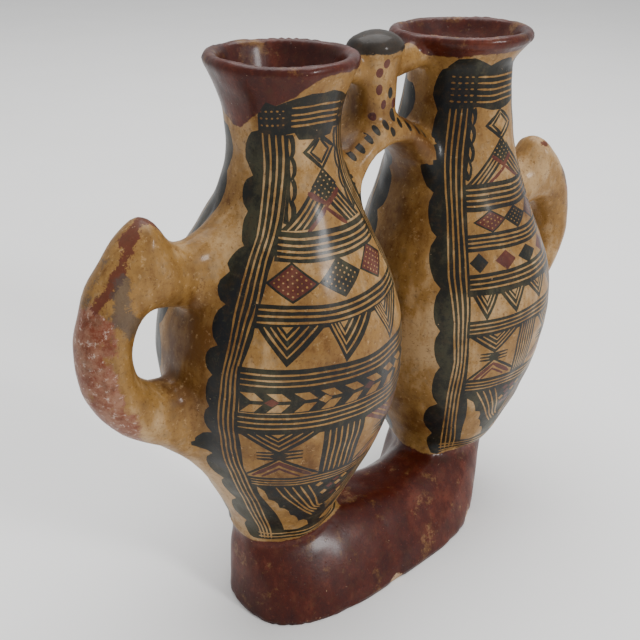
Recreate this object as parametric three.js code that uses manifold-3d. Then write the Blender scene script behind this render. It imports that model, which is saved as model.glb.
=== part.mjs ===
// Double-chamber vessel: two hand-built earthenware jars on one foot, joined by an arched bridge
// with a capped post, and each with a peaked loop handle on its outer side. It is one fired piece.
// Millimetres, +Z up. The long axis is X and the jar called left stands at -X.
import * as THREE from 'three';
import Module from 'manifold-3d';
import { mergeVertices } from 'three/addons/utils/BufferGeometryUtils.js';

const wasm = await Module();
wasm.setup();

// The clay wall, the lip that ends it and the clay under each chamber
const wall = 6;
const lip = 5;
const floorThickness = 14;

// The clear space between the two bellies at their widest
const bellyGap = 8;

// The two jars are a pair of one height, but the right rim ends a little lower
const jarHeight = 240;
const rightRimDrop = 2.4;

// Each jar: its height, then its radius at the waist, belly, neck and rim. A lean is how far the
// axis has moved at the top, and the bow is how far the bridge has pulled the neck inwards.
const leftJar = {
  side: -1, height: jarHeight, waist: 22.2, belly: 50.5, neck: 21.5, rim: 28.2,
  leanX: 1.4, leanY: -1.6, bow: 1.9,
};
const rightJar = {
  side: 1, height: jarHeight - rightRimDrop, waist: 27.1, belly: 49.3, neck: 22.9, rim: 31,
  leanX: -4.9, leanY: 5.4, bow: -1.7,
};

// Where the waist, belly, neck and pulled part stand, as shares of the jar's own height, and how
// early each curve turns
Object.assign(leftJar, { bellyAt: 0.517, neckAt: 0.873, lowTurn: 1.12, highTurn: 1.17, rimTurn: 1.57 });
Object.assign(rightJar, { bellyAt: 0.5, neckAt: 0.937, lowTurn: 0.94, highTurn: 0.83, rimTurn: 0.9 });
const waistAt = 0.15;
const bowAt = 0.78;
const bowSpread = 0.1;

// The foot under both jars. On the ground it is shorter than the jars' waists by the undercut and
// sits off the middle, towards the front and the left, and it comes back under them as it rises.
// The turns say how early its length and its width come in, and the tuck is how small each jar's
// base is inside the foot.
const foot = {
  height: 35, undercut: 10.5, halfWidth: 32.5, topHalfWidth: 20.8, shiftX: -16, shiftY: -12, edge: 3,
  squareness: 2.8, lengthTurn: 1.15, widthTurn: 1.85, tuck: 0.8,
};

// The bridge between the necks: half its thickness and depth at the crown
const bridge = {
  crownAt: 0.85, landingAt: 0.79, rise: 15, halfThick: 5.5, halfDepth: 12.5, flare: 1.6, bury: 9,
};

// The post on the bridge, its domed cap and the two arms that tie it to the rims
const post = { shift: -3, halfWidth: 9.5, halfDepth: 8.5, spread: 1.35, spreadOver: 1 / 3, squareness: 2.6 };
const cap = { halfWidth: 12, halfDepth: 11, height: 7, sink: 5 };
const arm = { below: 9, halfThick: 4.5, halfDepth: 5, web: 1.6 };

// The handles: how far each stands out from its belly, the height from lower root to peak, half the
// depth, and where the top of the finger hole stands on the left jar. The drop is how much lower
// the right one sits.
const handle = {
  leftReach: 38, rightReach: 40.5, height: 103, halfDepth: 11, holeTopAt: 0.654, rightDrop: 12,
};

// The handle's outline as pairs of an outer and an inner point, from the upper root over the peak
// to the lower root. Outward is a share of the reach beyond the belly, and up is a share of the
// handle's height above the top of the finger hole. The last number widens the depth.
const handleOutline = [
  [-0.62, 0.26, -0.62, -0.06, 1.4],
  [-0.1, 0.215, -0.1, -0.015, 1.1],
  [0.22, 0.335, 0.2, 0.01, 0.95],
  [0.56, 0.25, 0.36, -0.005, 0.95],
  [0.86, 0.1, 0.46, -0.07, 1],
  [1, -0.09, 0.48, -0.14, 1],
  [0.96, -0.27, 0.44, -0.22, 1],
  [0.68, -0.44, 0.27, -0.285, 1.05],
  [0.2, -0.57, 0.1, -0.3, 1.15],
  [-0.55, -0.76, -0.5, -0.35, 1.4],
];

// How finely the forms are cut: the sides of their rings, then the rings or steps along them
const jarSides = 40;
const chamberSides = 28;
const footSides = 44;
const tubeSides = 14;
const capSides = 18;
const jarRings = 16;
const chamberRings = 11;
const footRings = 7;
const postRings = 8;
const bridgeSteps = 16;
const handleSteps = 22;
const armSteps = 8;

// Where the rings of the round lips, the chamber's bowl and the cap's dome stand, in quarter turns
const lipTurns = [0.5, 1];
const bowlTurns = [0.1, 0.3, 0.5, 0.75, 1];
const domeTurns = [-0.35, 0, 0.25, 0.5, 0.72, 0.9];
const quarterTurn = Math.PI / 2;

// The ground spacing leaves the belly gap once both jars have leaned towards each other
const leanedIn = leftJar.leanX * leftJar.bellyAt - rightJar.leanX * rightJar.bellyAt;
const groundSpacing = leftJar.belly + rightJar.belly + bellyGap + leanedIn;

const lerp = THREE.MathUtils.lerp;
const ease = (t) => t * t * (3 - 2 * t);

// Outer radius of a jar at a share of its height
function jarRadius(jar, share) {
  if (share < jar.bellyAt) {
    const t = Math.max(0, (share - waistAt) / (jar.bellyAt - waistAt));
    return jar.waist + (jar.belly - jar.waist) * Math.sin(quarterTurn * t ** jar.lowTurn);
  }
  if (share < jar.neckAt) {
    const t = (share - jar.bellyAt) / (jar.neckAt - jar.bellyAt);
    return jar.neck + (jar.belly - jar.neck) * (1 + Math.cos(Math.PI * t ** jar.highTurn)) / 2;
  }
  const t = Math.min(1, (share - jar.neckAt) / (1 - jar.neckAt));
  return lerp(jar.neck, jar.rim, ease(t ** jar.rimTurn));
}

// The jar's axis at a share of its height
function jarAxis(jar, share) {
  const pulled = jar.bow * Math.exp(-(((share - bowAt) / bowSpread) ** 2));
  return new THREE.Vector2(
    jar.side * groundSpacing / 2 + jar.leanX * share + pulled,
    jar.leanY * share,
  );
}

// A closed form through rings of points, with each end closed onto its middle
function loft(rings) {
  const count = rings[0].length;
  const positions = rings.flat().flatMap((p) => [p.x, p.y, p.z]);
  const indices = [];
  for (let ring = 0; ring + 1 < rings.length; ring += 1) {
    for (let i = 0; i < count; i += 1) {
      const a = ring * count + i;
      const b = ring * count + (i + 1) % count;
      indices.push(a, b, b + count, a, b + count, a + count);
    }
  }
  const closeEnd = (ring, turned) => {
    const middle = rings[ring].reduce((sum, p) => sum.add(p), new THREE.Vector3()).divideScalar(count);
    const centre = positions.length / 3;
    positions.push(middle.x, middle.y, middle.z);
    for (let i = 0; i < count; i += 1) {
      const a = ring * count + i;
      const b = ring * count + (i + 1) % count;
      indices.push(...(turned ? [centre, b, a] : [centre, a, b]));
    }
  };
  closeEnd(0, true);
  closeEnd(rings.length - 1, false);
  const geometry = new THREE.BufferGeometry();
  geometry.setAttribute('position', new THREE.Float32BufferAttribute(positions, 3));
  geometry.setIndex(indices);
  return facingOut(geometry);
}

// Turns every triangle round when the geometry encloses a negative volume
function facingOut(geometry) {
  const at = geometry.getAttribute('position');
  const index = geometry.getIndex().array;
  const corner = [new THREE.Vector3(), new THREE.Vector3(), new THREE.Vector3()];
  let volume = 0;
  for (let i = 0; i < index.length; i += 3) {
    corner.forEach((p, k) => p.fromBufferAttribute(at, index[i + k]));
    volume += corner[0].dot(corner[1].cross(corner[2]));
  }
  if (volume < 0) {
    for (let i = 0; i < index.length; i += 3) {
      [index[i], index[i + 1]] = [index[i + 1], index[i]];
    }
  }
  return geometry;
}

// A superellipse ring in a horizontal plane. Squareness 2 is a plain ellipse.
function flatRing(x, y, z, halfX, halfY, squareness, sides) {
  return Array.from({ length: sides }, (_, i) => {
    const turn = 2 * Math.PI * i / sides;
    const c = Math.cos(turn);
    const s = Math.sin(turn);
    return new THREE.Vector3(
      x + halfX * Math.sign(c) * Math.abs(c) ** (2 / squareness),
      y + halfY * Math.sign(s) * Math.abs(s) ** (2 / squareness),
      z,
    );
  });
}

// A tube in an upright plane, which may lean in y. Each station gives its middle x, y and z, the
// reach acrossX and acrossZ from there to its outer edge, and the half depth along Y.
function tube(stations, steps) {
  const curve = (pick) => new THREE.CatmullRomCurve3(stations.map((s) => new THREE.Vector3(...pick(s))));
  const path = curve((s) => [s.x, s.y, s.z]);
  const sizes = curve((s) => [s.acrossX, s.depth, s.acrossZ]);
  const rings = [];
  for (let step = 0; step <= steps; step += 1) {
    const middle = path.getPoint(step / steps);
    const size = sizes.getPoint(step / steps);
    rings.push(Array.from({ length: tubeSides }, (_, i) => {
      const turn = 2 * Math.PI * i / tubeSides;
      return new THREE.Vector3(
        middle.x + size.x * Math.cos(turn),
        middle.y + size.y * Math.sin(turn),
        middle.z + size.z * Math.cos(turn),
      );
    }));
  }
  return loft(rings);
}

// Makes a closed geometry into a solid that can be joined and cut
function solid(geometry) {
  const bare = geometry.clone();
  bare.deleteAttribute('normal');
  bare.deleteAttribute('uv');
  const merged = mergeVertices(bare, 1e-4);
  return new wasm.Manifold(new wasm.Mesh({
    numProp: 3,
    vertProperties: new Float32Array(merged.getAttribute('position').array),
    triVerts: new Uint32Array(merged.getIndex().array),
  }));
}

// The jar's outside, from within the foot up to the rounded lip
function jarOutside(jar) {
  const base = foot.height * foot.tuck;
  const shares = [waistAt];
  const last = 1 - lip / 2 / jar.height;
  for (let i = 1; i <= jarRings; i += 1) {
    shares.push(lerp(waistAt, last, i / jarRings));
  }
  const outline = shares.map((share) => ({ share, radius: jarRadius(jar, share) }));
  for (const turn of lipTurns) {
    outline.push({
      share: 1 - lip / 2 * (1 - Math.sin(turn * quarterTurn)) / jar.height,
      radius: jar.rim - lip / 2 * (1 - Math.cos(turn * quarterTurn)),
    });
  }
  outline.unshift({ share: base / jar.height, radius: jar.waist * foot.tuck });
  return solid(loft(outline.map(({ share, radius }) => {
    const axis = jarAxis(jar, share);
    return flatRing(axis.x, axis.y, share * jar.height, radius, radius, 2, jarSides);
  })));
}

// The chamber inside a jar, from its round bottom up through the mouth
function chamber(jar) {
  const bottom = floorThickness;
  const bowl = jar.waist - wall;
  const outline = [];
  for (const turn of bowlTurns) {
    const angle = turn * quarterTurn;
    outline.push({ z: bottom + bowl * (1 - Math.cos(angle)), radius: bowl * Math.sin(angle) });
  }
  const first = Math.max(waistAt * jar.height, bottom + bowl + lip / 5);
  const last = jar.height - lip / 2;
  for (let i = 0; i <= chamberRings; i += 1) {
    const z = lerp(first, last, i / chamberRings);
    const thickness = lerp(wall, lip, ease(i / chamberRings));
    outline.push({ z, radius: jarRadius(jar, z / jar.height) - thickness });
  }
  for (const turn of lipTurns) {
    outline.push({
      z: jar.height - lip / 2 * (1 - Math.sin(turn * quarterTurn)),
      radius: jar.rim - lip + lip / 2 * (1 - Math.cos(turn * quarterTurn)),
    });
  }
  outline.push({ z: jar.height + lip, radius: jar.rim - lip / 2 });
  return solid(loft(outline.map(({ z, radius }) => {
    const axis = jarAxis(jar, z / jar.height);
    return flatRing(axis.x, axis.y, z, radius, radius, 2, chamberSides);
  })));
}

// The foot's outline at a height, with its worn lower edge
function footRing(z, inset = 0) {
  const up = z / foot.height;
  const leftEnd = jarAxis(leftJar, waistAt).x - leftJar.waist;
  const rightEnd = jarAxis(rightJar, waistAt).x + rightJar.waist;
  const topHalfLength = (rightEnd - leftEnd) / 2;
  const topHalfWidth = Math.min(foot.topHalfWidth, leftJar.waist, rightJar.waist);
  const worn = z < foot.edge ? foot.edge * (1 - Math.sqrt(1 - (1 - z / foot.edge) ** 2)) : 0;
  return flatRing(
    lerp(foot.shiftX, (leftEnd + rightEnd) / 2, up),
    lerp(foot.shiftY, 0, up),
    z,
    lerp(topHalfLength - foot.undercut, topHalfLength, up ** foot.lengthTurn) - worn - inset,
    lerp(foot.halfWidth, topHalfWidth, up ** foot.widthTurn) - worn - inset,
    foot.squareness,
    footSides,
  );
}

function footSolid() {
  const rings = [footRing(0), footRing(foot.edge / 3)];
  for (let i = 0; i <= footRings; i += 1) {
    rings.push(footRing(lerp(foot.edge, foot.height - foot.edge, i / footRings)));
  }
  rings.push(footRing(foot.height - foot.edge / 4, foot.edge));
  rings.push(footRing(foot.height, foot.edge * 2));
  return solid(loft(rings));
}

// What the bridge, post and arms share: the clear span between the necks and its middle
function neckSpan() {
  const wallAt = (jar, share) => jarAxis(jar, share).x - jar.side * jarRadius(jar, share);
  const left = wallAt(leftJar, bridge.landingAt);
  const right = wallAt(rightJar, bridge.landingAt);
  const crown = bridge.crownAt * (leftJar.height + rightJar.height) / 2;
  const leftY = jarAxis(leftJar, bridge.landingAt).y;
  const rightY = jarAxis(rightJar, bridge.landingAt).y;
  return { left, right, middle: (left + right) / 2, half: (right - left) / 2, crown, leftY, rightY };
}

function bridgeSolid() {
  const span = neckSpan();
  const reach = 1 + bridge.bury / span.half;
  const stations = [];
  for (let i = -4; i <= 4; i += 1) {
    const t = i / 4 * reach;
    const widen = lerp(1, bridge.flare, (t / reach) ** 2);
    const slope = Math.atan2(-2 * bridge.rise * t, span.half);
    stations.push({
      x: span.middle + t * span.half,
      y: lerp(span.leftY, span.rightY, (t + 1) / 2),
      z: span.crown - bridge.rise * t * t,
      acrossX: -bridge.halfThick * widen * Math.sin(slope),
      acrossZ: bridge.halfThick * widen * Math.cos(slope),
      depth: bridge.halfDepth * lerp(1, widen, 0.4),
    });
  }
  return solid(tube(stations, bridgeSteps));
}

// The post stands on the crown. Its cap is level with the rims.
function postSolid() {
  const span = neckSpan();
  const x = span.middle + post.shift;
  const y = (span.leftY + span.rightY) / 2;
  const rimHeight = Math.max(leftJar.height, rightJar.height);
  const capBase = rimHeight - cap.sink;
  const base = span.crown - bridge.halfThick / 2;
  const rings = [];
  const spreading = (fromEnd) => (post.spread - 1) * Math.max(0, 1 - fromEnd / post.spreadOver) ** 2;
  for (let i = 0; i <= postRings; i += 1) {
    const t = i / postRings;
    const size = 1 + Math.max(spreading(t), spreading(1 - t) / 2);
    rings.push(flatRing(x, y, lerp(base, capBase, t), post.halfWidth * size, post.halfDepth * size,
      post.squareness, tubeSides));
  }
  const stem = solid(loft(rings));
  const dome = [];
  for (const turn of domeTurns) {
    const angle = turn * quarterTurn;
    const size = Math.cos(angle);
    dome.push(flatRing(x, y, capBase + cap.height * Math.sin(angle), cap.halfWidth * size,
      cap.halfDepth * size, 2, capSides));
  }
  return stem.add(solid(loft(dome)));
}

// Short arms run from the post to both rims, just under the lips. The web is how much deeper they
// are at the post.
function armSolid() {
  const span = neckSpan();
  const ends = [leftJar, rightJar].map((jar) => {
    const share = 1 - arm.below / jar.height;
    const axis = jarAxis(jar, share);
    const radius = jarRadius(jar, share);
    return { x: axis.x - jar.side * (radius - lip / 2), y: axis.y, z: share * jar.height };
  });
  const middle = { x: span.middle + post.shift, y: (span.leftY + span.rightY) / 2 };
  middle.z = (ends[0].z + ends[1].z) / 2 - arm.halfThick * (arm.web - 1);
  const stations = [ends[0], middle, ends[1]].map((p, i) => ({
    ...p, acrossX: 0, acrossZ: arm.halfThick * (i === 1 ? arm.web : 1), depth: arm.halfDepth,
  }));
  return solid(tube(stations, armSteps));
}

// A loop handle on the outer side of a jar, in the upright plane of the long axis
function handleSolid(jar) {
  const drop = jar.side > 0 ? handle.rightDrop : 0;
  const reach = jar.side > 0 ? handle.rightReach : handle.leftReach;
  const holeTop = handle.holeTopAt * leftJar.height - drop;
  const beside = jarAxis(jar, jar.bellyAt);
  const point = (out, up) => new THREE.Vector2(
    beside.x + jar.side * (jar.belly + reach * out),
    holeTop + handle.height * up,
  );
  const stations = handleOutline.map(([outerOut, outerUp, innerOut, innerUp, widen]) => {
    const outer = point(outerOut, outerUp);
    const inner = point(innerOut, innerUp);
    return {
      x: (outer.x + inner.x) / 2,
      y: beside.y,
      z: (outer.y + inner.y) / 2,
      acrossX: (outer.x - inner.x) / 2,
      acrossZ: (outer.y - inner.y) / 2,
      depth: handle.halfDepth * widen,
    };
  });
  return solid(tube(stations, handleSteps));
}

// Gives a joined solid back as a geometry
function geometryOf(shape) {
  const mesh = shape.getMesh();
  const geometry = new THREE.BufferGeometry();
  geometry.setAttribute('position', new THREE.BufferAttribute(new Float32Array(mesh.vertProperties), 3));
  geometry.setIndex(new THREE.BufferAttribute(new Uint32Array(mesh.triVerts), 1));
  geometry.computeVertexNormals();
  return geometry;
}

function twinVessel() {
  let clay = footSolid();
  for (const jar of [leftJar, rightJar]) {
    clay = clay.add(jarOutside(jar)).add(handleSolid(jar));
  }
  clay = clay.add(bridgeSolid()).add(postSolid()).add(armSolid());
  for (const jar of [leftJar, rightJar]) {
    clay = clay.subtract(chamber(jar));
  }
  return geometryOf(clay);
}

const earthenware = new THREE.MeshStandardMaterial({ color: 0xb98a4a, roughness: 0.45, metalness: 0 });
const vessel = new THREE.Mesh(twinVessel(), earthenware);
vessel.name = 'twin_vessel';

const part = new THREE.Group();
part.name = 'double_chamber_vessel';
part.add(vessel);

export default part;
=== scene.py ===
"""Twin painted jars on one foot, joined by an arched bridge with a capped post.

The whole vessel is one piece of fired clay. Its shape is a distance field made from the jars' own
profiles, turned into a mesh, and the painted pattern is cut into that mesh stroke by stroke.
Shape work is in millimetres and Blender's objects are in metres.
"""
import math
from dataclasses import dataclass

import bpy
import numpy as np
from bpy.props import FloatProperty, FloatVectorProperty, PointerProperty
from mathutils import Matrix, Vector
from mathutils.geometry import delaunay_2d_cdt


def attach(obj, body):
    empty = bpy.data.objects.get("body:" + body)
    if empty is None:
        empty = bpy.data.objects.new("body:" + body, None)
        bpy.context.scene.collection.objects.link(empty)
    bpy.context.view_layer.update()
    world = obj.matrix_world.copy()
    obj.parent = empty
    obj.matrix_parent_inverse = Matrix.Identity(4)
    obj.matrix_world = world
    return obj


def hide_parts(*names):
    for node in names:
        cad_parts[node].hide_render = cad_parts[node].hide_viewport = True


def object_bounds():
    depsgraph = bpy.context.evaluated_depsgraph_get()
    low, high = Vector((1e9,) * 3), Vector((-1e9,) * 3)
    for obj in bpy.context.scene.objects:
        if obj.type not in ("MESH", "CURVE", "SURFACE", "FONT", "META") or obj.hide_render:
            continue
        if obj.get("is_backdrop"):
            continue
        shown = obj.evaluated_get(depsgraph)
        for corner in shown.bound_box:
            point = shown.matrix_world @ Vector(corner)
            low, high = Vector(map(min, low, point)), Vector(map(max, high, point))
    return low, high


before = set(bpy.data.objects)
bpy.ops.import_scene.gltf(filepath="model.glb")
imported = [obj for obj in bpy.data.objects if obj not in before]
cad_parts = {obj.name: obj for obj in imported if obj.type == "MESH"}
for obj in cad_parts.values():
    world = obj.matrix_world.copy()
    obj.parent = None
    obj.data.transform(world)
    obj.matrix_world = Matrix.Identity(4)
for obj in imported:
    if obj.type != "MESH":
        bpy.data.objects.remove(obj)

bl_info = {
    "name": "Double-chamber vessel",
    "version": (1, 0, 0),
    "blender": (4, 5, 0),
    "location": "View3D > Sidebar > Vessel",
    "description": "Builds a pair of painted earthenware jars on one foot",
    "category": "Object",
}

NODE = "twin_vessel"
CAD_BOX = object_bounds()
MM = 0.001

# Shares of a jar's height
WAIST_AT = 0.15
BOW_AT = 0.78
BOW_SPREAD = 0.1

BELLY_GAP = 8.0
FLOOR = 14.0
FOOT = {
    "undercut": 10.5, "half_width": 32.5, "top_half_width": 20.8, "shift_x": -16.0,
    "shift_y": -12.0, "squareness": 2.8, "length_turn": 1.15, "width_turn": 1.85, "tuck": 0.8,
    "dip": 4.0, "dip_reach": 22.0, "slope_x": 11.0, "slope_reach": 30.0, "slope_top": 1.0,
}
BRIDGE = {"crown_at": 0.85, "landing_at": 0.79, "rise": 15.0, "half_thick": 5.5, "half_depth": 12.5,
          "flare": 1.6, "bury": 9.0}
POST = {"shift": -3.0, "back": 1.8, "half_width": 9.5, "half_depth": 10.3, "spread": 1.35,
        "squareness": 2.6}
CAP = {"half_width": 12.0, "half_depth": 11.0, "height": 7.0, "sink": 5.0}
ARM = {"below": 9.0, "half_thick": 4.5, "half_depth": 5.0, "web": 1.6}
HANDLE = {"half_depth": 11.0, "root_depth": 9.0, "hole_top_at": 0.654, "right_drop": 12.0, "round": 11.0}
HANDLE_MARGIN = 14.0

# The handle's outline, from the upper root over the peak to the lower root, as an outer and an
# inner point. Outward is a share of the reach beyond the belly and up is a share of its height.
HANDLE_OUTLINE = np.array([
    (-0.62, 0.26, -0.62, -0.06),
    (-0.1, 0.215, -0.1, -0.015),
    (0.22, 0.335, 0.2, 0.01),
    (0.56, 0.25, 0.36, -0.005),
    (0.86, 0.1, 0.46, -0.07),
    (1.0, -0.09, 0.48, -0.14),
    (0.96, -0.27, 0.44, -0.22),
    (0.68, -0.44, 0.27, -0.285),
    (0.2, -0.585, 0.1, -0.3),
    (-0.55, -0.9, -0.5, -0.35),
])

# Places where the clay is chipped away: X, Y, Z and radius, in millimetres
CHIPS = [
    (-86.5, -13.5, 236.5, 5.0), (-84.5, -19.5, 234.5, 3.6), (-79.0, -24.5, 235.5, 3.4),
    (-72.5, -27.0, 234.0, 3.0), (24.5, -18.5, 237.0, 4.0), (30.0, -24.5, 235.5, 3.0),
    (-86.0, -40.0, 1.0, 7.0), (-62.0, -47.5, 1.5, 4.0), (-20.0, -47.0, 0.5, 5.0),
    (40.0, -36.0, 1.0, 4.5), (-120.0, -3.5, 192.5, 4.0), (-112.0, 4.0, 195.5, 3.5),
    (127.0, -6.0, 176.5, 4.0), (133.0, -4.0, 168.0, 3.0),
]
CHIP_DEPTH = 0.8


def lerp(a, b, t):
    return a + (b - a) * t


def ease(t):
    return t * t * (3 - 2 * t)


def join(a, b, blend):
    """The union of two distance fields with a fillet of about the blend's size."""
    h = np.clip(0.5 + 0.5 * (b - a) / blend, 0, 1)
    return b + (a - b) * h - blend * h * (1 - h)


def cut(a, b, blend):
    """The overlap of two distance fields, with a rounded edge."""
    return -join(-a, -b, blend)


def ellipse_distance(u, v, half_u, half_v):
    """Distance to an ellipse, close enough near it for a surface to be found."""
    k0 = np.hypot(u / half_u, v / half_v)
    k1 = np.hypot(u / half_u ** 2, v / half_v ** 2) + 1e-9
    return k0 * (k0 - 1) / k1


def rounded_square(x, y, half_x, half_y, squareness):
    """Distance to a superellipse."""
    m = (np.abs(x / half_x) ** squareness + np.abs(y / half_y) ** squareness) ** (1 / squareness)
    m = np.maximum(m, 1e-6)
    return np.hypot(x, y) * (1 - 1 / m)


def smooth_path(points, steps):
    """A Catmull-Rom curve through points, with an equal number of steps between each pair."""
    points = np.asarray(points, float)
    padded = np.vstack([2 * points[0] - points[1], points, 2 * points[-1] - points[-2]])
    path = []
    for i in range(len(points) - 1):
        a, b, c, d = padded[i:i + 4]
        for t in np.arange(steps) / steps:
            path.append(0.5 * (2 * b + (c - a) * t + (2 * a - 5 * b + 4 * c - d) * t ** 2
                               + (3 * b - a - 3 * c + d) * t ** 3))
    path.append(points[-1])
    return np.array(path)


def inside_loop(u, v, loop):
    """Whether flat points lie inside a closed outline."""
    inside = np.zeros(u.shape, bool)
    for (ax, ay), (bx, by) in zip(loop, np.roll(loop, -1, axis=0)):
        if ay != by:
            inside ^= ((ay > v) != (by > v)) & (u < ax + (v - ay) * (bx - ax) / (by - ay))
    return inside


def outline_distance(u, v, loop):
    """Signed distance in a plane to a closed outline, negative inside."""
    nearest = np.full(u.shape, 1e9)
    for (ax, ay), (bx, by) in zip(loop, np.roll(loop, -1, axis=0)):
        ex, ey = bx - ax, by - ay
        wx, wy = u - ax, v - ay
        t = np.clip((wx * ex + wy * ey) / (ex * ex + ey * ey + 1e-12), 0, 1)
        nearest = np.minimum(nearest, (wx - t * ex) ** 2 + (wy - t * ey) ** 2)
    return np.where(inside_loop(u, v, loop), -1, 1) * np.sqrt(nearest)


def waves(p, seed, count, shortest, longest):
    """A smooth field of mixed waves, between about -1 and 1."""
    rng = np.random.default_rng(seed)
    total = np.zeros(len(p))
    for _ in range(count):
        turn = rng.normal(size=3)
        turn *= 2 * math.pi / rng.uniform(shortest, longest) / np.linalg.norm(turn)
        total += np.sin(p @ turn + rng.uniform(0, 2 * math.pi))
    return total / math.sqrt(count)


@dataclass(frozen=True)
class Jar:
    """One jar's profile and the lean of its axis."""
    side: int
    height: float
    waist: float
    belly: float
    neck: float
    rim: float
    lean_x: float
    lean_y: float
    bow: float
    belly_at: float
    neck_at: float
    low_turn: float
    high_turn: float
    rim_turn: float
    foot_x: float

    def radius(self, z):
        share = np.asarray(z, float) / self.height
        low = np.clip((share - WAIST_AT) / (self.belly_at - WAIST_AT), 0, 1)
        high = np.clip((share - self.belly_at) / (self.neck_at - self.belly_at), 0, 1)
        top = np.clip((share - self.neck_at) / (1 - self.neck_at), 0, 1)
        under = self.waist + (self.belly - self.waist) * np.sin(math.pi / 2 * low ** self.low_turn)
        over = self.neck + (self.belly - self.neck) * (1 + np.cos(math.pi * high ** self.high_turn)) / 2
        flare = lerp(self.neck, self.rim, ease(top ** self.rim_turn))
        tucked = self.waist * lerp(FOOT["tuck"], 1, np.clip(share / WAIST_AT * 5 - 4, 0, 1))
        body = np.where(share < WAIST_AT, tucked, np.where(share < self.belly_at, under, over))
        return np.where(share < self.neck_at, body, flare)

    def slope(self, z):
        return self.radius(z + 0.5) - self.radius(z - 0.5)

    def axis(self, z):
        share = np.clip(np.asarray(z, float) / self.height, 0, 1)
        pulled = self.bow * np.exp(-(((share - BOW_AT) / BOW_SPREAD) ** 2))
        return self.foot_x + self.lean_x * share + pulled, self.lean_y * share

    def polar(self, p):
        """Radius and turn, in radians, of points about the leaning axis."""
        x, y = self.axis(p[:, 2])
        dx, dy = p[:, 0] - x, p[:, 1] - y
        return np.hypot(dx, dy), np.arctan2(dy, dx)

    def wall_distance(self, p):
        """Distance to the jar's side, as if it had neither foot nor mouth."""
        z = np.clip(p[:, 2], 0, self.height)
        reach, _ = self.polar(p)
        return (reach - self.radius(z)) / np.hypot(1, self.slope(z))


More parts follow.
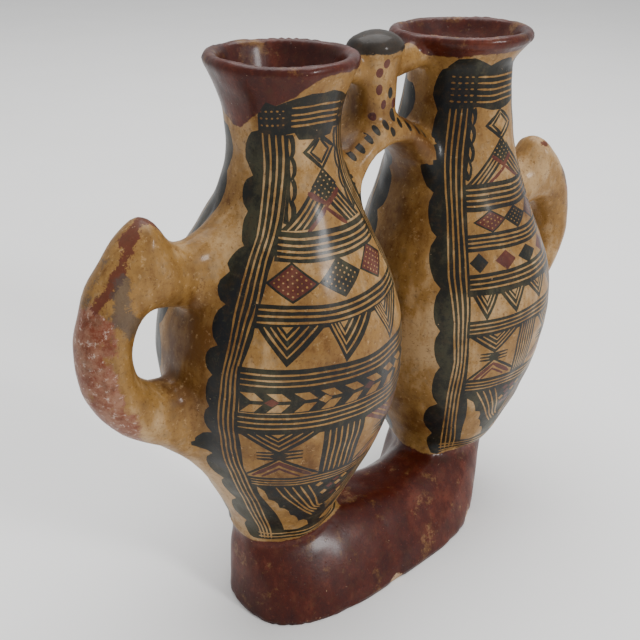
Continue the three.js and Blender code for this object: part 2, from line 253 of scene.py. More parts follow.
class Clay:
    """The vessel's clay as a distance field in millimetres, negative inside."""

    def __init__(self, sizes):
        height, left_belly, right_belly = sizes.height / MM, sizes.left_belly / MM, sizes.right_belly / MM
        self.wall, self.lip = sizes.wall / MM, sizes.lip / MM
        self.foot_height = sizes.foot_height / MM
        self.handle_height = sizes.handle_height / MM
        self.reach = {-1: sizes.left_reach / MM, 1: sizes.right_reach / MM}
        left_lean, right_lean, left_belly_at, right_belly_at = 1.4, -4.9, 0.517, 0.5
        leaned_in = left_lean * left_belly_at - right_lean * right_belly_at
        half = (left_belly + right_belly + BELLY_GAP + leaned_in) / 2
        self.left = Jar(-1, height, 22.2, left_belly, 21.5, 28.2, left_lean, -1.6, 1.9,
                        left_belly_at, 0.873, 1.12, 1.17, 1.57, -half)
        self.right = Jar(1, height - sizes.rim_drop / MM, 27.1, right_belly, 22.9, 31.0, right_lean,
                         5.4, -1.7, right_belly_at, 0.937, 0.94, 0.83, 0.9, half)
        self.jars = (self.left, self.right)
        self.span = self.neck_span()
        self.loops = {jar.side: self.handle_outline(jar) for jar in self.jars}

    def neck_span(self):
        """The clear span between the necks where the bridge lands."""
        walls = {}
        for jar in self.jars:
            z = BRIDGE["landing_at"] * jar.height
            x, y = jar.axis(z)
            walls[jar.side] = (x - jar.side * jar.radius(z), y)
        (left, left_y), (right, right_y) = walls[-1], walls[1]
        crown = BRIDGE["crown_at"] * (self.left.height + self.right.height) / 2
        return {"middle": (left + right) / 2, "half": (right - left) / 2, "crown": crown,
                "left_y": left_y, "right_y": right_y, "y": (left_y + right_y) / 2}

    def jar_outside(self, jar, p):
        z = p[:, 2]
        tucked_in = 0.45 * np.clip(self.foot_height + 1 - z, 0, 20)
        side = cut(jar.wall_distance(p) + tucked_in, self.foot_height * FOOT["tuck"] - z, 3.0)
        return np.maximum(side, z - (jar.height - self.lip / 2))

    def jar_lip(self, jar, p):
        """The rounded lip, as a ring of half the lip's thickness."""
        reach, _ = jar.polar(p)
        half = self.lip / 2
        return np.hypot(reach - (jar.rim - half), p[:, 2] - (jar.height - half)) - half

    def jar_chamber(self, jar, p):
        z = p[:, 2]
        first, last = WAIST_AT * jar.height, jar.height - self.lip / 2
        level = np.clip(z, first, last)
        thick = lerp(self.wall, self.lip, ease((level - first) / (last - first)))
        reach, _ = jar.polar(p)
        side = (reach - jar.radius(level) + thick) / np.hypot(1, jar.slope(level))
        return cut(side, FLOOR - z, 2 * (jar.waist - self.wall) / 1.6)

    def foot(self, p):
        up = np.clip(p[:, 2] / self.foot_height, 0, 1)
        left_end = self.left.axis(WAIST_AT * self.left.height)[0] - self.left.waist
        right_end = self.right.axis(WAIST_AT * self.right.height)[0] + self.right.waist
        top_half = (right_end - left_end) / 2
        x = p[:, 0] - lerp(FOOT["shift_x"], (left_end + right_end) / 2, up)
        y = p[:, 1] - lerp(FOOT["shift_y"], 0, up)
        half_x = lerp(top_half - FOOT["undercut"], top_half, up ** FOOT["length_turn"])
        half_y = lerp(FOOT["half_width"], FOOT["top_half_width"], up ** FOOT["width_turn"])
        side = rounded_square(x, y, half_x, half_y, FOOT["squareness"])
        dip = FOOT["dip"] * np.exp(-((p[:, 0] - self.span["middle"] - 1) / FOOT["dip_reach"]) ** 2)
        between = np.exp(-((p[:, 0] - FOOT["slope_x"]) / FOOT["slope_reach"]) ** 4)
        back = lerp(FOOT["half_width"] + FOOT["shift_y"], FOOT["slope_top"], up) + 40 * (1 - between)
        side = cut(side, 0.88 * (p[:, 1] - back), 6.0)
        return cut(side, p[:, 2] - self.foot_height + dip, 9.0)

    def bridge(self, p):
        span = self.span
        reach = 1 + BRIDGE["bury"] / span["half"]
        t = np.clip((p[:, 0] - span["middle"]) / span["half"], -reach, reach)
        slope = np.arctan2(-2 * BRIDGE["rise"] * t, span["half"])
        widen = lerp(1, BRIDGE["flare"], (t / reach) ** 2)
        up = (p[:, 2] - (span["crown"] - BRIDGE["rise"] * t * t)) * np.cos(slope)
        across = p[:, 1] - lerp(span["left_y"], span["right_y"], (t + 1) / 2)
        body = ellipse_distance(up, across, BRIDGE["half_thick"] * widen,
                                BRIDGE["half_depth"] * lerp(1, widen, 0.4))
        return np.maximum(body, np.abs(p[:, 0] - span["middle"]) - reach * span["half"])

    def post(self, p):
        span = self.span
        base = span["crown"] - BRIDGE["half_thick"] / 2
        top = self.left.height - CAP["sink"]
        t = np.clip((p[:, 2] - base) / (top - base), 0, 1)
        low = np.clip(1 - 3 * t, 0, 1) ** 2
        high = np.clip(3 * t - 2, 0, 1) ** 2 / 2
        size = 1 + (POST["spread"] - 1) * np.maximum(low, high)
        side = rounded_square(p[:, 0] - span["middle"] - POST["shift"], p[:, 1] - span["y"] - POST["back"],
                              POST["half_width"] * size, POST["half_depth"] * size, POST["squareness"])
        return cut(cut(side, p[:, 2] - top, 1.0), base - p[:, 2], 1.0)

    def cap(self, p):
        span = self.span
        q = p - np.array([span["middle"] + POST["shift"], span["y"], self.left.height - CAP["sink"]])
        halves = np.array([CAP["half_width"], CAP["half_depth"], CAP["height"]])
        k0 = np.linalg.norm(q / halves, axis=1)
        k1 = np.linalg.norm(q / halves ** 2, axis=1) + 1e-9
        return cut(k0 * (k0 - 1) / k1, -2.5 - q[:, 2], 1.5)

    def arms(self, p):
        """The short bars that tie the post to both rims."""
        ends = []
        for jar in self.jars:
            z = jar.height - ARM["below"]
            x, y = jar.axis(z)
            ends.append((x - jar.side * (jar.radius(z) - self.lip / 2), y, z))
        middle_x = self.span["middle"] + POST["shift"]
        middle_z = (ends[0][2] + ends[1][2]) / 2 - ARM["half_thick"] * (ARM["web"] - 1)
        left = p[:, 0] < middle_x
        end = np.where(left[:, None], np.array(ends[0]), np.array(ends[1]))
        t = np.clip((p[:, 0] - middle_x) / (end[:, 0] - middle_x), 0, 1)
        thick = ARM["half_thick"] * lerp(ARM["web"], 1, t)
        up = p[:, 2] - lerp(middle_z, end[:, 2], t)
        across = p[:, 1] - lerp(self.span["y"], end[:, 1], t)
        beyond = np.maximum(ends[0][0] - p[:, 0], p[:, 0] - ends[1][0])
        return np.maximum(ellipse_distance(up, across, thick, ARM["half_depth"]), beyond)

    def handle_outline(self, jar):
        """The closed outline of a handle in its upright plane."""
        x, _ = jar.axis(jar.belly_at * jar.height)
        top = HANDLE["hole_top_at"] * self.left.height - (HANDLE["right_drop"] if jar.side > 0 else 0)
        path = smooth_path(HANDLE_OUTLINE, 5)
        loop = np.vstack([path[:, :2], path[::-1, 2:]])
        return np.stack([x + jar.side * (jar.belly + self.reach[jar.side] * loop[:, 0]),
                         top + self.handle_height * loop[:, 1]], -1)

    def handle(self, jar, p):
        loop = self.loops[jar.side]
        _, y = jar.axis(jar.belly_at * jar.height)
        low, high = loop.min(axis=0) - HANDLE_MARGIN, loop.max(axis=0) + HANDLE_MARGIN
        near = (p[:, 0] > low[0]) & (p[:, 0] < high[0]) & (p[:, 2] > low[1]) & (p[:, 2] < high[1])
        near &= np.abs(p[:, 1] - y) < HANDLE["half_depth"] + HANDLE_MARGIN
        result = np.full(len(p), HANDLE_MARGIN)
        q = p[near]
        edge = outline_distance(q[:, 0], q[:, 2], loop)
        across = np.maximum(0, edge + HANDLE["round"])
        beyond = (q[:, 0] - jar.axis(q[:, 2])[0]) * jar.side - jar.belly
        half_depth = lerp(HANDLE["root_depth"], HANDLE["half_depth"], ease(np.clip(beyond / 16 + 0.5, 0, 1)))
        result[near] = ellipse_distance(across, q[:, 1] - y, HANDLE["round"], half_depth)
        return result

    def chip(self, p):
        """Distance to the nearest chip's hollow, in millimetres."""
        nearest = np.full(len(p), 20.0)
        for x, y, z, radius in CHIPS:
            away = np.linalg.norm((p - (x, y, z)) * (1, 1, 1.3), axis=1) - radius
            nearest = np.minimum(nearest, away)
        return nearest + 0.5 * waves(p, 61, 8, 3, 8)

    def distance(self, p):
        warped = p + np.stack([0.45 * waves(p, seed, 5, 60, 130) for seed in (1, 2, 3)], -1)
        body = np.minimum(self.jar_outside(self.left, warped), self.jar_outside(self.right, warped))
        body = join(body, self.foot(warped), 9.0)
        upper = join(self.bridge(warped), self.post(warped), 5.0)
        upper = join(upper, self.arms(warped), 4.0)
        body = join(body, upper, 6.0)
        for jar in self.jars:
            body = join(body, self.handle(jar, warped), 6.0)
        for jar in self.jars:
            body = cut(body, -self.jar_chamber(jar, warped), 1.0)
            body = join(body, self.jar_lip(jar, warped), 1.0)
        body = join(body, self.cap(warped), 0.8)
        body -= 0.16 * waves(p, 4, 9, 9, 26)
        near = np.abs(body) < 6
        bite = cut(self.chip(p[near]), -(body[near] + CHIP_DEPTH), 0.5)
        body[near] = cut(body[near], -bite, 0.4)
        return cut(body, -p[:, 2], 2.0)

    def gradient(self, p, step=0.2):
        """The direction in which the distance grows fastest."""
        parts = []
        for axis in range(3):
            move = np.zeros(3)
            move[axis] = step
            parts.append((self.distance(p + move) - self.distance(p - move)) / (2 * step))
        return np.stack(parts, -1)

    def settle(self, p, rounds=3, furthest=1.2):
        """Moves points onto the surface."""
        for _ in range(rounds):
            slope = self.gradient(p)
            steepness = np.maximum((slope ** 2).sum(axis=1), 0.05)
            move = np.clip(self.distance(p) / steepness, -furthest, furthest)
            p = p - move[:, None] * slope
        return p

    def settle_along(self, p, direction, rounds=6):
        """Moves points onto the surface along given lines."""
        for _ in range(rounds):
            here = self.distance(p)
            steepness = (self.distance(p + 0.2 * direction) - here) / 0.2
            move = np.clip(here / np.maximum(steepness, 0.3), -2.5, 2.5)
            p = p - move[:, None] * direction
        return p

    def normals(self, p):
        slope = self.gradient(p)
        return slope / np.linalg.norm(slope, axis=1, keepdims=True)


GRID = 2.0
GRID_MARGIN = 5.0


def clay_surface(clay, low, high):
    """Points and four-sided faces of the clay's surface between two corners, all facing outwards."""
    counts = np.ceil((high - low) / GRID).astype(int) + 1
    axes = [low[k] + GRID * np.arange(counts[k]) for k in range(3)]
    field = np.empty(counts)
    for k, z in enumerate(axes[2]):
        x, y = np.meshgrid(axes[0], axes[1], indexing="ij")
        level = np.stack([x.ravel(), y.ravel(), np.full(x.size, z)], -1)
        field[:, :, k] = clay.distance(level).reshape(x.shape)
    inside = field < 0
    cells = counts - 1
    total = np.zeros((*cells, 3))
    hits = np.zeros(cells)

    def layers(array, axis, shift):
        """The array less its last layer along an axis, moved on by the shift."""
        picks = [slice(None)] * 3
        picks[axis] = slice(shift, array.shape[axis] - 1 + shift)
        return array[tuple(picks)]

    def around(where, others):
        """The four cells that share a grid edge."""
        for da, db in ((0, 0), (1, 0), (1, 1), (0, 1)):
            cell = where.copy()
            cell[:, others[0]] -= da
            cell[:, others[1]] -= db
            yield tuple(cell.T)

    crossings = []
    for axis in range(3):
        near, far = layers(field, axis, 0), layers(field, axis, 1)
        crossed = layers(inside, axis, 0) != layers(inside, axis, 1)
        where = np.argwhere(crossed)
        point = where.astype(float)
        point[:, axis] += near[crossed] / (near[crossed] - far[crossed])
        others = [k for k in range(3) if k != axis]
        for cell in around(where, others):
            np.add.at(total, cell, point)
            np.add.at(hits, cell, 1)
        crossings.append((axis, others, where))
    used = hits > 0
    number = np.full(cells, -1)
    number[used] = np.arange(used.sum())
    points = low + GRID * (total[used] / hits[used][:, None])
    faces = []
    for axis, others, where in crossings:
        quad = np.stack([number[cell] for cell in around(where, others)], -1)
        leaving = inside[tuple(where.T)]
        a, b, c, d = (points[quad[:, k]] for k in range(4))
        turned = (np.cross(c - a, d - b)[:, axis] > 0) != leaving
        quad[turned] = quad[turned][:, ::-1]
        faces.append(quad)
    return clay.settle(points), np.vstack(faces)


OCHRE, BLACK, RED = 0, 1, 2
CHART_RADIUS = 40.0
SLIT = 0.74
HAND = 0.28
PATTERN_HEIGHT = 240.0


def spaced_out(path, spacing, closed):
    """The path with further points, none of its sides longer than the spacing."""
    path = np.asarray(path, float)
    ends = np.roll(path, -1, axis=0) if closed else path[1:]
    result = []
    for a, b in zip(path, ends):
        steps = max(1, math.ceil(np.linalg.norm(b - a) / spacing))
        result.extend(lerp(a, b, t) for t in np.arange(steps) / steps)
    if not closed:
        result.append(path[-1])
    return np.array(result)


def lobed(points, steps=6):
    """An edge of rounded lobes, from alternate notches and tips."""
    points = np.asarray(points, float)
    path = []
    for i in range(0, len(points) - 2, 2):
        a, tip, b = points[i:i + 3]
        along = b - a
        at = np.clip(((tip - a) @ along) / (along @ along), 0.25, 0.75)
        out = tip - (a + along * at)
        for t in np.arange(steps) / steps:
            swing = t / at / 2 if t < at else 0.5 + (t - at) / (1 - at) / 2
            path.append(a + along * t + out * math.sin(math.pi * swing) ** 0.6)
    path.append(points[-1])
    return np.array(path)


class Face:
    """Brush strokes on a part of the clay, as closed outlines on a flat chart in millimetres."""

    def __init__(self, seed):
        self.seed = seed
        self.rng = np.random.default_rng(seed)
        self.strokes = []

    def add(self, paint, flat):
        """Takes an outline on the chart and draws it with a slightly unsteady hand."""
        deep = np.column_stack([flat, np.zeros(len(flat))])
        unsteady = np.stack([waves(deep, self.seed + k, 6, 14, 50) for k in (0, 1)], -1)
        self.strokes.append((paint, flat + HAND * unsteady))


class Panel(Face):
    """One painted face of a jar. Its places are degrees of turn and millimetres of height."""

    def __init__(self, clay, jar, centre, inner, seed):
        super().__init__(seed)
        self.clay, self.jar, self.centre = clay, jar, centre
        self.scale = clay.left.height / PATTERN_HEIGHT
        self.inner_edge = np.array(inner)

    def inner(self, z):
        """Turn of the left border's inner edge."""
        return np.interp(z, self.inner_edge[:, 0], self.inner_edge[:, 1])

    def mirrored(self, points):
        points = np.array(points, float)
        points[:, 0] = 2 * self.centre - points[:, 0]
        return points

    def flat(self, places):
        """Places on the jar as points on the chart."""
        places = np.array(places, float)
        away = places[:, 0] - self.centre
        return np.column_stack([CHART_RADIUS * np.radians(away), places[:, 1] * self.scale])

    def chart(self, p):
        _, turn = self.jar.polar(p)
        away = (turn - math.radians(self.centre) + math.pi) % (2 * math.pi) - math.pi
        return np.column_stack([CHART_RADIUS * away, p[:, 2]])

    def place(self, flat):
        """Points on the clay for points on the chart."""
        turn = flat[:, 0] / CHART_RADIUS + math.radians(self.centre)
        z = flat[:, 1]
        x, y = self.jar.axis(z)
        out = np.column_stack([np.cos(turn), np.sin(turn), np.zeros(len(flat))])
        start = np.column_stack([x, y, z]) + out * self.jar.radius(z)[:, None]
        return self.clay.settle_along(start, out)

    def holds(self, p, normals):
        """Which points lie on this face of the jar."""
        flat = self.chart(p)
        turn = flat[:, 0] / CHART_RADIUS + math.radians(self.centre)
        outward = normals[:, 0] * np.cos(turn) + normals[:, 1] * np.sin(turn)
        held = (np.abs(flat[:, 0]) < CHART_RADIUS * math.radians(88)) & (outward > 0.35)
        held &= (p[:, 2] > 31 * self.scale) & (p[:, 2] < 233 * self.scale)
        return held & (np.abs(self.jar.wall_distance(p)) < 9)

    def area(self, paint, places, spacing=2.4):
        self.add(paint, spaced_out(self.flat(places), spacing, True))

    def line(self, paint, places, wide, spacing=3.0):
        flat = spaced_out(self.flat(places), spacing, False)
        stretch = CHART_RADIUS / self.jar.radius(flat[:, 1])
        along = np.gradient(flat, axis=0) / np.column_stack([stretch, np.ones(len(flat))])
        along /= np.linalg.norm(along, axis=1, keepdims=True) + 1e-9
        across = np.column_stack([-along[:, 1] * stretch, along[:, 0]])
        half = wide / 2 * (1 + 0.22 * self.rng.uniform(-1, 1, len(flat)))
        half[[0, -1]] *= 0.55
        side = across * half[:, None]
        self.add(paint, np.vstack([flat + side, (flat - side)[::-1]]))

    def dot(self, paint, turn, z, wide, tall, sides=6):
        angle = 2 * math.pi * (np.arange(sides) + self.rng.uniform(0, 1)) / sides
        size = self.rng.uniform(0.75, 1.15) / 2
        stretch = CHART_RADIUS / self.jar.radius(z * self.scale)
        ring = np.column_stack([wide * stretch * np.cos(angle), tall * np.sin(angle)]) * size
        self.add(paint, self.flat([(turn, z)]) + ring)

    def both(self, draw, paint, places, *sizes):
        """Draws the same on the left and mirrored on the right."""
        draw(paint, places, *sizes)
        draw(paint, self.mirrored(places), *sizes)

    def border(self, notches, outer_slit, inner_slit, count, top):
        """The scalloped border with its light slits, on both sides."""
        edge = lobed(notches)
        inner = [(turn, z) for z, turn in self.inner_edge]
        self.both(self.area, BLACK, np.vstack([edge, inner]))
        outer_slit, inner_slit = np.array(outer_slit), np.array(inner_slit)
        z = np.linspace(37, top, 26)
        outer = np.interp(z, outer_slit[:, 0], outer_slit[:, 1])
        inner = np.interp(z, inner_slit[:, 0], inner_slit[:, 1])
        for share in np.linspace(0, 1, count):
            self.both(self.line, OCHRE, np.column_stack([lerp(outer, inner, share), z]), SLIT)

    def band(self, top, bottom, slits, tilt=0.0, begin=0.0):
        """A black band between the borders, with light lines along it."""
        left = self.inner((top + bottom) / 2) + begin
        turns = np.linspace(left - 1.5, 2 * self.centre - left + 1.5, 12)
        rise = tilt * np.sin(math.pi / 2 * np.linspace(0, 1, 12))
        upper, lower = np.column_stack([turns, top + rise]), np.column_stack([turns, bottom + rise])
        self.area(BLACK, np.vstack([upper, lower[::-1]]))
        turns[[0, -1]] += (1.5, -1.5)
        for z in slits:
            self.line(OCHRE, np.column_stack([turns, z + rise]), SLIT)

    def nested_v(self, paint, left, tip, right, count):
        """A filled triangle with light lines along its two sides and a light heart."""
        corners = np.array([left, tip, right], float)
        top = np.array([corners[1, 0], (corners[0, 1] + corners[2, 1]) / 2])
        self.area(paint, corners)
        for share in np.arange(1, count) / count:
            self.line(OCHRE, lerp(corners, top, share * 0.92), SLIT)
        self.area(OCHRE, lerp(corners, top, 1 - 0.62 / count))

    def chevron(self, paint, left, tip, right, wide):
        self.line(paint, [left, tip, right], wide)

    def diamond(self, paint, left, top, right, bottom, dots=0):
        """A four-cornered field, with rows of light dots along its sides if it has any."""
        corners = np.array([left, top, right, bottom], float)
        self.area(paint, corners)
        if not dots:
            return
        shares = (np.arange(dots) + 0.6) / (dots + 0.2)
        for s in shares:
            for t in shares:
                place = lerp(lerp(corners[0], corners[1], s), lerp(corners[3], corners[2], s), t)
                self.dot(OCHRE, place[0], place[1], 0.85, 0.7, 5)

    def ring(self, paint, left, top, right, bottom, wide):
        """A four-cornered outline."""
        self.line(paint, [top, left, bottom, right, top], wide)

    def fan(self, apex_top, apex_low, foot_low, foot_far, count):
        """A tent's leg: a black field with light lines from its top to its foot."""
        corners = np.array([apex_top, apex_low, foot_low, foot_far], float)
        self.area(BLACK, corners)
        for share in (np.arange(count) + 1) / (count + 1):
            start, end = lerp(corners[0], corners[1], share), lerp(corners[3], corners[2], share)
            self.line(OCHRE, [start, end], SLIT)

    def uprights(self, left, right, top, bottom, count):
        """A black field with upright light lines."""
        self.area(BLACK, [(left, top), (right, top), (right, bottom), (left, bottom)])
        for share in (np.arange(count) + 1) / (count + 1):
            turn = lerp(left, right, share)
            self.line(OCHRE, [(turn, top - 0.6), (turn, bottom + 0.6)], SLIT)


class BridgeFront(Face):
    """The front of the bridge and the post, charted straight from the front."""

    def __init__(self, clay, seed):
        super().__init__(seed)
        self.clay = clay

    def chart(self, p):
        return p[:, [0, 2]].copy()

    def place(self, flat):
        start = np.column_stack([flat[:, 0], np.full(len(flat), -14.0), flat[:, 1]])
        out = np.tile([0.0, -1.0, 0.0], (len(flat), 1))
        return self.clay.settle_along(start, out, 8)

    def holds(self, p, normals):
        middle = self.clay.span["middle"]
        held = (normals[:, 1] < -0.35) & (np.abs(p[:, 0] - middle) < 34)
        held &= (p[:, 2] > 186) & (p[:, 2] < 233) & (p[:, 1] > -30)
        held &= self.clay.left.wall_distance(p) > 0.9
        return held & (self.clay.right.wall_distance(p) > 4.0)

    def oval(self, paint, x, z, wide=2.7, tall=4.8, sides=12):
        angle = 2 * math.pi * (np.arange(sides) + self.rng.uniform(0, 1)) / sides
        size = self.rng.uniform(0.92, 1.08) / 2
        ring = np.column_stack([wide * np.cos(angle), tall * np.sin(angle)]) * size
        self.add(paint, np.array([x, z]) + ring)


def cut_strokes(face, points, polygons, owners, paints, me):
    """Cuts a face's strokes into the polygons it owns, and gives back the whole mesh."""
    chosen = owners == me
    uses = {}
    for i in np.flatnonzero(chosen):
        polygon = polygons[i]
        for a, b in zip(polygon, polygon[1:] + polygon[:1]):
            uses.setdefault((min(a, b), max(a, b)), []).append(i)
    rim = [edge for edge, faces in uses.items() if len(faces) == 1]
    rim_points = sorted({a for edge in rim for a in edge})
    inner_points = np.array(sorted({a for edge in uses for a in edge} - set(rim_points)))
    rim_flat, inner_flat = face.chart(points[rim_points]), face.chart(points[inner_points])

    # Mesh points too close to a stroke's edge would only make slivers
    cell = 0.75
    outlines = [stroke for _, stroke in face.strokes]
    samples = np.vstack([spaced_out(outline, cell / 2, True) for outline in outlines])
    taken = {tuple(key) for key in np.floor(samples / cell).astype(int)}
    free = [tuple(key) not in taken for key in np.floor(inner_flat / cell).astype(int)]
    kept, kept_flat = inner_points[free], inner_flat[free]

    order = {point: i for i, point in enumerate(rim_points)}
    edges = [(order[a], order[b]) for a, b in rim]
    flat = [rim_flat, kept_flat]
    start = len(rim_flat) + len(kept_flat)
    for outline in outlines:
        numbers = start + np.arange(len(outline))
        edges.extend(zip(numbers.tolist(), np.roll(numbers, -1).tolist()))
        flat.append(outline)
        start += len(outline)
    flat = np.vstack(flat)
    out_flat, out_edges, triangles, came_from, edge_from, _ = delaunay_2d_cdt(
        [Vector(pair) for pair in flat.tolist()], edges, [], 0, 0.02, True)
    out_flat = np.array([tuple(pair) for pair in out_flat])
    triangles = np.array([list(t) for t in triangles])

    known = np.concatenate([rim_points, kept])
    number = np.full(len(out_flat), -1)
    for i, sources in enumerate(came_from):
        old = [s for s in sources if s < len(known)]
        if old:
            number[i] = known[min(old)]
    middle = out_flat[triangles].mean(axis=1)
    within = np.zeros(len(middle), bool)
    ends = rim_flat[np.array(edges[:len(rim)])]
    for (ax, ay), (bx, by) in ends:
        if ay != by:
            crosses = (ay > middle[:, 1]) != (by > middle[:, 1])
            within ^= crosses & (middle[:, 0] < ax + (middle[:, 1] - ay) * (bx - ax) / (by - ay))
    triangles, middle = triangles[within], middle[within]
    wanted = np.unique(triangles[number[triangles] < 0])
    number[wanted] = len(points) + np.arange(len(wanted))
    points = np.vstack([points, face.place(out_flat[wanted])])

    colours = np.zeros(len(middle), int)
    for paint, outline in face.strokes:
        low, high = outline.min(axis=0), outline.max(axis=0)
        near = np.flatnonzero(((middle > low) & (middle < high)).all(axis=1))
        inside = inside_loop(middle[near, 0], middle[near, 1], outline)
        colours[near[inside]] = paint

    # Points set into the rim's edges go into the faces outside it too, so the mesh stays closed
    split = {}
    for (a, b), sources in zip(out_edges, edge_from):
        for source in sources:
            if source < len(rim):
                split.setdefault(source, set()).update((a, b))
    extra = {}
    for source, members in split.items():
        if len(members) > 2:
            a, b = rim[source]
            first = rim_flat[order[a]]
            chain = sorted(members, key=lambda m: np.linalg.norm(out_flat[m] - first))
            extra[(a, b)] = [int(number[m]) for m in chain if number[m] not in (a, b)]
    result = []
    rest = np.flatnonzero(~chosen)
    for i in rest:
        polygon = polygons[i]
        ring = []
        for a, b in zip(polygon, polygon[1:] + polygon[:1]):
            ring.append(a)
            ring.extend(extra.get((a, b), []))
            ring.extend(extra.get((b, a), [])[::-1])
        result.append(ring)
    result.extend(number[triangles].tolist())
    owners = np.concatenate([owners[rest], np.full(len(triangles), -1)])
    return points, result, owners, np.concatenate([paints[rest], colours])


def paint_left_front(clay):
    """The left jar's photographed face, whose right half mirrors the left where it can't be seen."""
    inner = [(36, -123), (42, -125), (50, -127.5), (60, -131), (70, -140), (80, -144), (90, -147),
             (110, -147), (120, -146.5), (140, -145), (150, -141), (160, -139.5), (170, -137),
             (180, -132), (190, -129), (200, -126), (210, -125), (217, -125)]
    panel = Panel(clay, clay.left, -94.0, inner, 11)
    panel.border(
        [(-151, 217.5), (-167.5, 208), (-158, 200.5), (-167, 195.5), (-158.5, 188.5), (-160.5, 184),
         (-155, 177.5), (-162, 172), (-159.5, 169), (-163.5, 164.5), (-156.5, 159), (-161, 152),
         (-157, 145), (-162, 140.5), (-158, 134), (-161.5, 127), (-160, 120), (-163.5, 113),
         (-161, 107), (-169, 101), (-163, 94.5), (-169, 85), (-163.5, 78.5), (-168, 71),
         (-162.5, 64.5), (-171, 54), (-162, 47), (-167.5, 42), (-158, 36)],
        [(42, -149), (60, -155), (100, -157), (120, -155.5), (150, -151), (170, -150.5),
         (180, -147.5), (210, -147)],
        [(42, -138), (60, -143), (80, -147), (100, -150), (120, -148.5), (140, -147), (150, -144),
         (160, -141), (170, -140.5), (180, -136.5), (190, -133), (210, -128)], 4, 217)
    # Neck band, with its lines and dots
    panel.both(panel.area, BLACK, [(-151, 217), (-150, 223), (-147, 225), (-141, 228), (-133, 226.5),
                                   (-118, 229), (-105, 230.5), (-93, 230), (-93, 213.5), (-113, 214),
                                   (-117, 216.5), (-127, 216)])
    for z in (225.5, 222.8, 220.8, 218.8):
        panel.line(OCHRE, [(-120, z), (-94, z + 0.3), (-66, z - 0.3)], SLIT)
    for turn in (-147, -142, -137, -132, -127):
        for z in (219.5, 222, 224.5):
            panel.both(lambda paint, place: panel.dot(paint, *place[0], 1.0, 0.8), OCHRE, [(turn, z)])
    # Wavy line beside the border, with light gaps behind it
    wave = lobed([(-118.5, 216), (-116.6, 212), (-119.4, 208), (-117, 204), (-120, 200.5), (-118, 196.5),
                  (-121.5, 193), (-120, 189.5), (-124, 185)])
    panel.both(panel.area, BLACK, np.vstack([wave, [(-130, 186), (-126, 200), (-125, 216)]]))
    for turn, z in ((-122.3, 211.6), (-122.4, 204), (-123.2, 196.4), (-125.4, 189.6)):
        panel.both(panel.area, OCHRE, [(turn, z + 3.3), (turn + 1.5, z + 1), (turn + 1.2, z - 1.4),
                                       (turn - 0.4, z - 3.2), (turn - 0.9, z)])
    # Double diamond under the neck band
    panel.ring(BLACK, (-108, 209.3), (-90.5, 214.5), (-71, 209.5), (-89.5, 202.5), 1.5)
    panel.ring(BLACK, (-101.5, 209), (-90, 213.4), (-79, 209), (-89.5, 204.6), 1.2)
    # Tent below it, with the dotted diamond between its legs
    panel.fan((-96, 200.2), (-95, 190.8), (-111.5, 183.6), (-132, 183.6), 3)
    panel.fan((-84, 200.2), (-91, 190.8), (-79, 183), (-59, 183), 3)
    panel.diamond(BLACK, (-105, 196.5), (-89.5, 203), (-76.5, 196.3), (-92.5, 191), 4)
    panel.line(RED, [(-109, 194.8), (-93, 190.2), (-76, 194.3)], 1.9)
    panel.line(RED, [(-113, 182.6), (-95, 189.2), (-79, 182.4)], 1.5)
    panel.band(183.4, 173.6, (181.2, 179, 177, 175.2), -1.2)
    # Dotted lozenges
    for centre, paint in ((-124, RED), (-95.5, BLACK), (-66.5, RED)):
        wide = 14.5
        panel.diamond(BLACK, (centre - wide, 167), (centre, 173.6), (centre + wide, 166.8), (centre, 160.8))
        panel.diamond(paint, (centre - wide + 2, 167), (centre, 172.7), (centre + wide - 2, 166.8),
                      (centre, 161.7), 5)
    panel.band(160.6, 152.8, (158.9, 156.9, 154.8), -1.0)
    panel.nested_v(BLACK, (-139.5, 153.3), (-126.5, 139.6), (-108.5, 153.3), 4)
    panel.nested_v(BLACK, (-107.8, 153.3), (-99.3, 138.2), (-80, 153), 4)
    panel.nested_v(BLACK, (-79.3, 153), (-70.5, 138), (-48, 152.6), 5)
    panel.band(139.2, 129.6, (137, 134.8, 132.6), -1.6)
    # Chain of fields between two bands
    panel.area(BLACK, [(-146, 130), (-44, 128.6), (-44, 119.4), (-146, 120.6)])
    for step in range(9):
        turn = -145 + 11.3 * step
        drop = -0.12 * step
        panel.area(OCHRE, [(turn - 0.6, 129.3 + drop), (turn + 5.6, 129.3 + drop), (turn + 9.4, 126 + drop),
                           (turn + 4, 126 + drop)])
        panel.area(OCHRE, [(turn + 3.6, 124.4 + drop), (turn + 9, 124.4 + drop), (turn + 5.4, 121 + drop),
                           (turn - 0.6, 121 + drop)])
        if step % 2 == 0:
            panel.area(RED if step % 4 == 0 else OCHRE,
                       [(turn + 9.6, 125.2 + drop), (turn + 12.8, 127 + drop), (turn + 16, 125.2 + drop),
                        (turn + 12.8, 123.4 + drop)])
    panel.band(120.3, 110.4, (118.4, 116.2, 113.9), -1.2)
    # Hourglasses each side of the uprights
    for turned in (False, True):
        def at(turn, z):
            return (-197 - turn, z - 0.8) if turned else (turn, z)
        panel.nested_v(RED if turned else BLACK, at(-146.5, 110.8), at(-129.5, 99.4), at(-109.5, 110.8), 4)
        panel.diamond(BLACK, at(-135, 99), at(-129.5, 101.4), at(-124, 99), at(-129.5, 96.6))
        panel.chevron(BLACK, at(-147, 86.8), at(-129.5, 97.4), at(-109, 86.2), 1.3)
        panel.chevron(RED, at(-143.5, 86.6), at(-129.5, 94.9), at(-113, 86), 1.9)
        panel.chevron(RED, at(-138.5, 86.4), at(-129.5, 91.8), at(-119, 86), 1.2)
        for z in (101, 99.1, 97.2):
            panel.line(BLACK, [at(-140, z), at(-118.5, z)], 1.15)
    panel.uprights(-109, -87.5, 110.4, 85, 6)
    panel.band(85.8, 79, (84, 82.2, 80.5), -0.8)
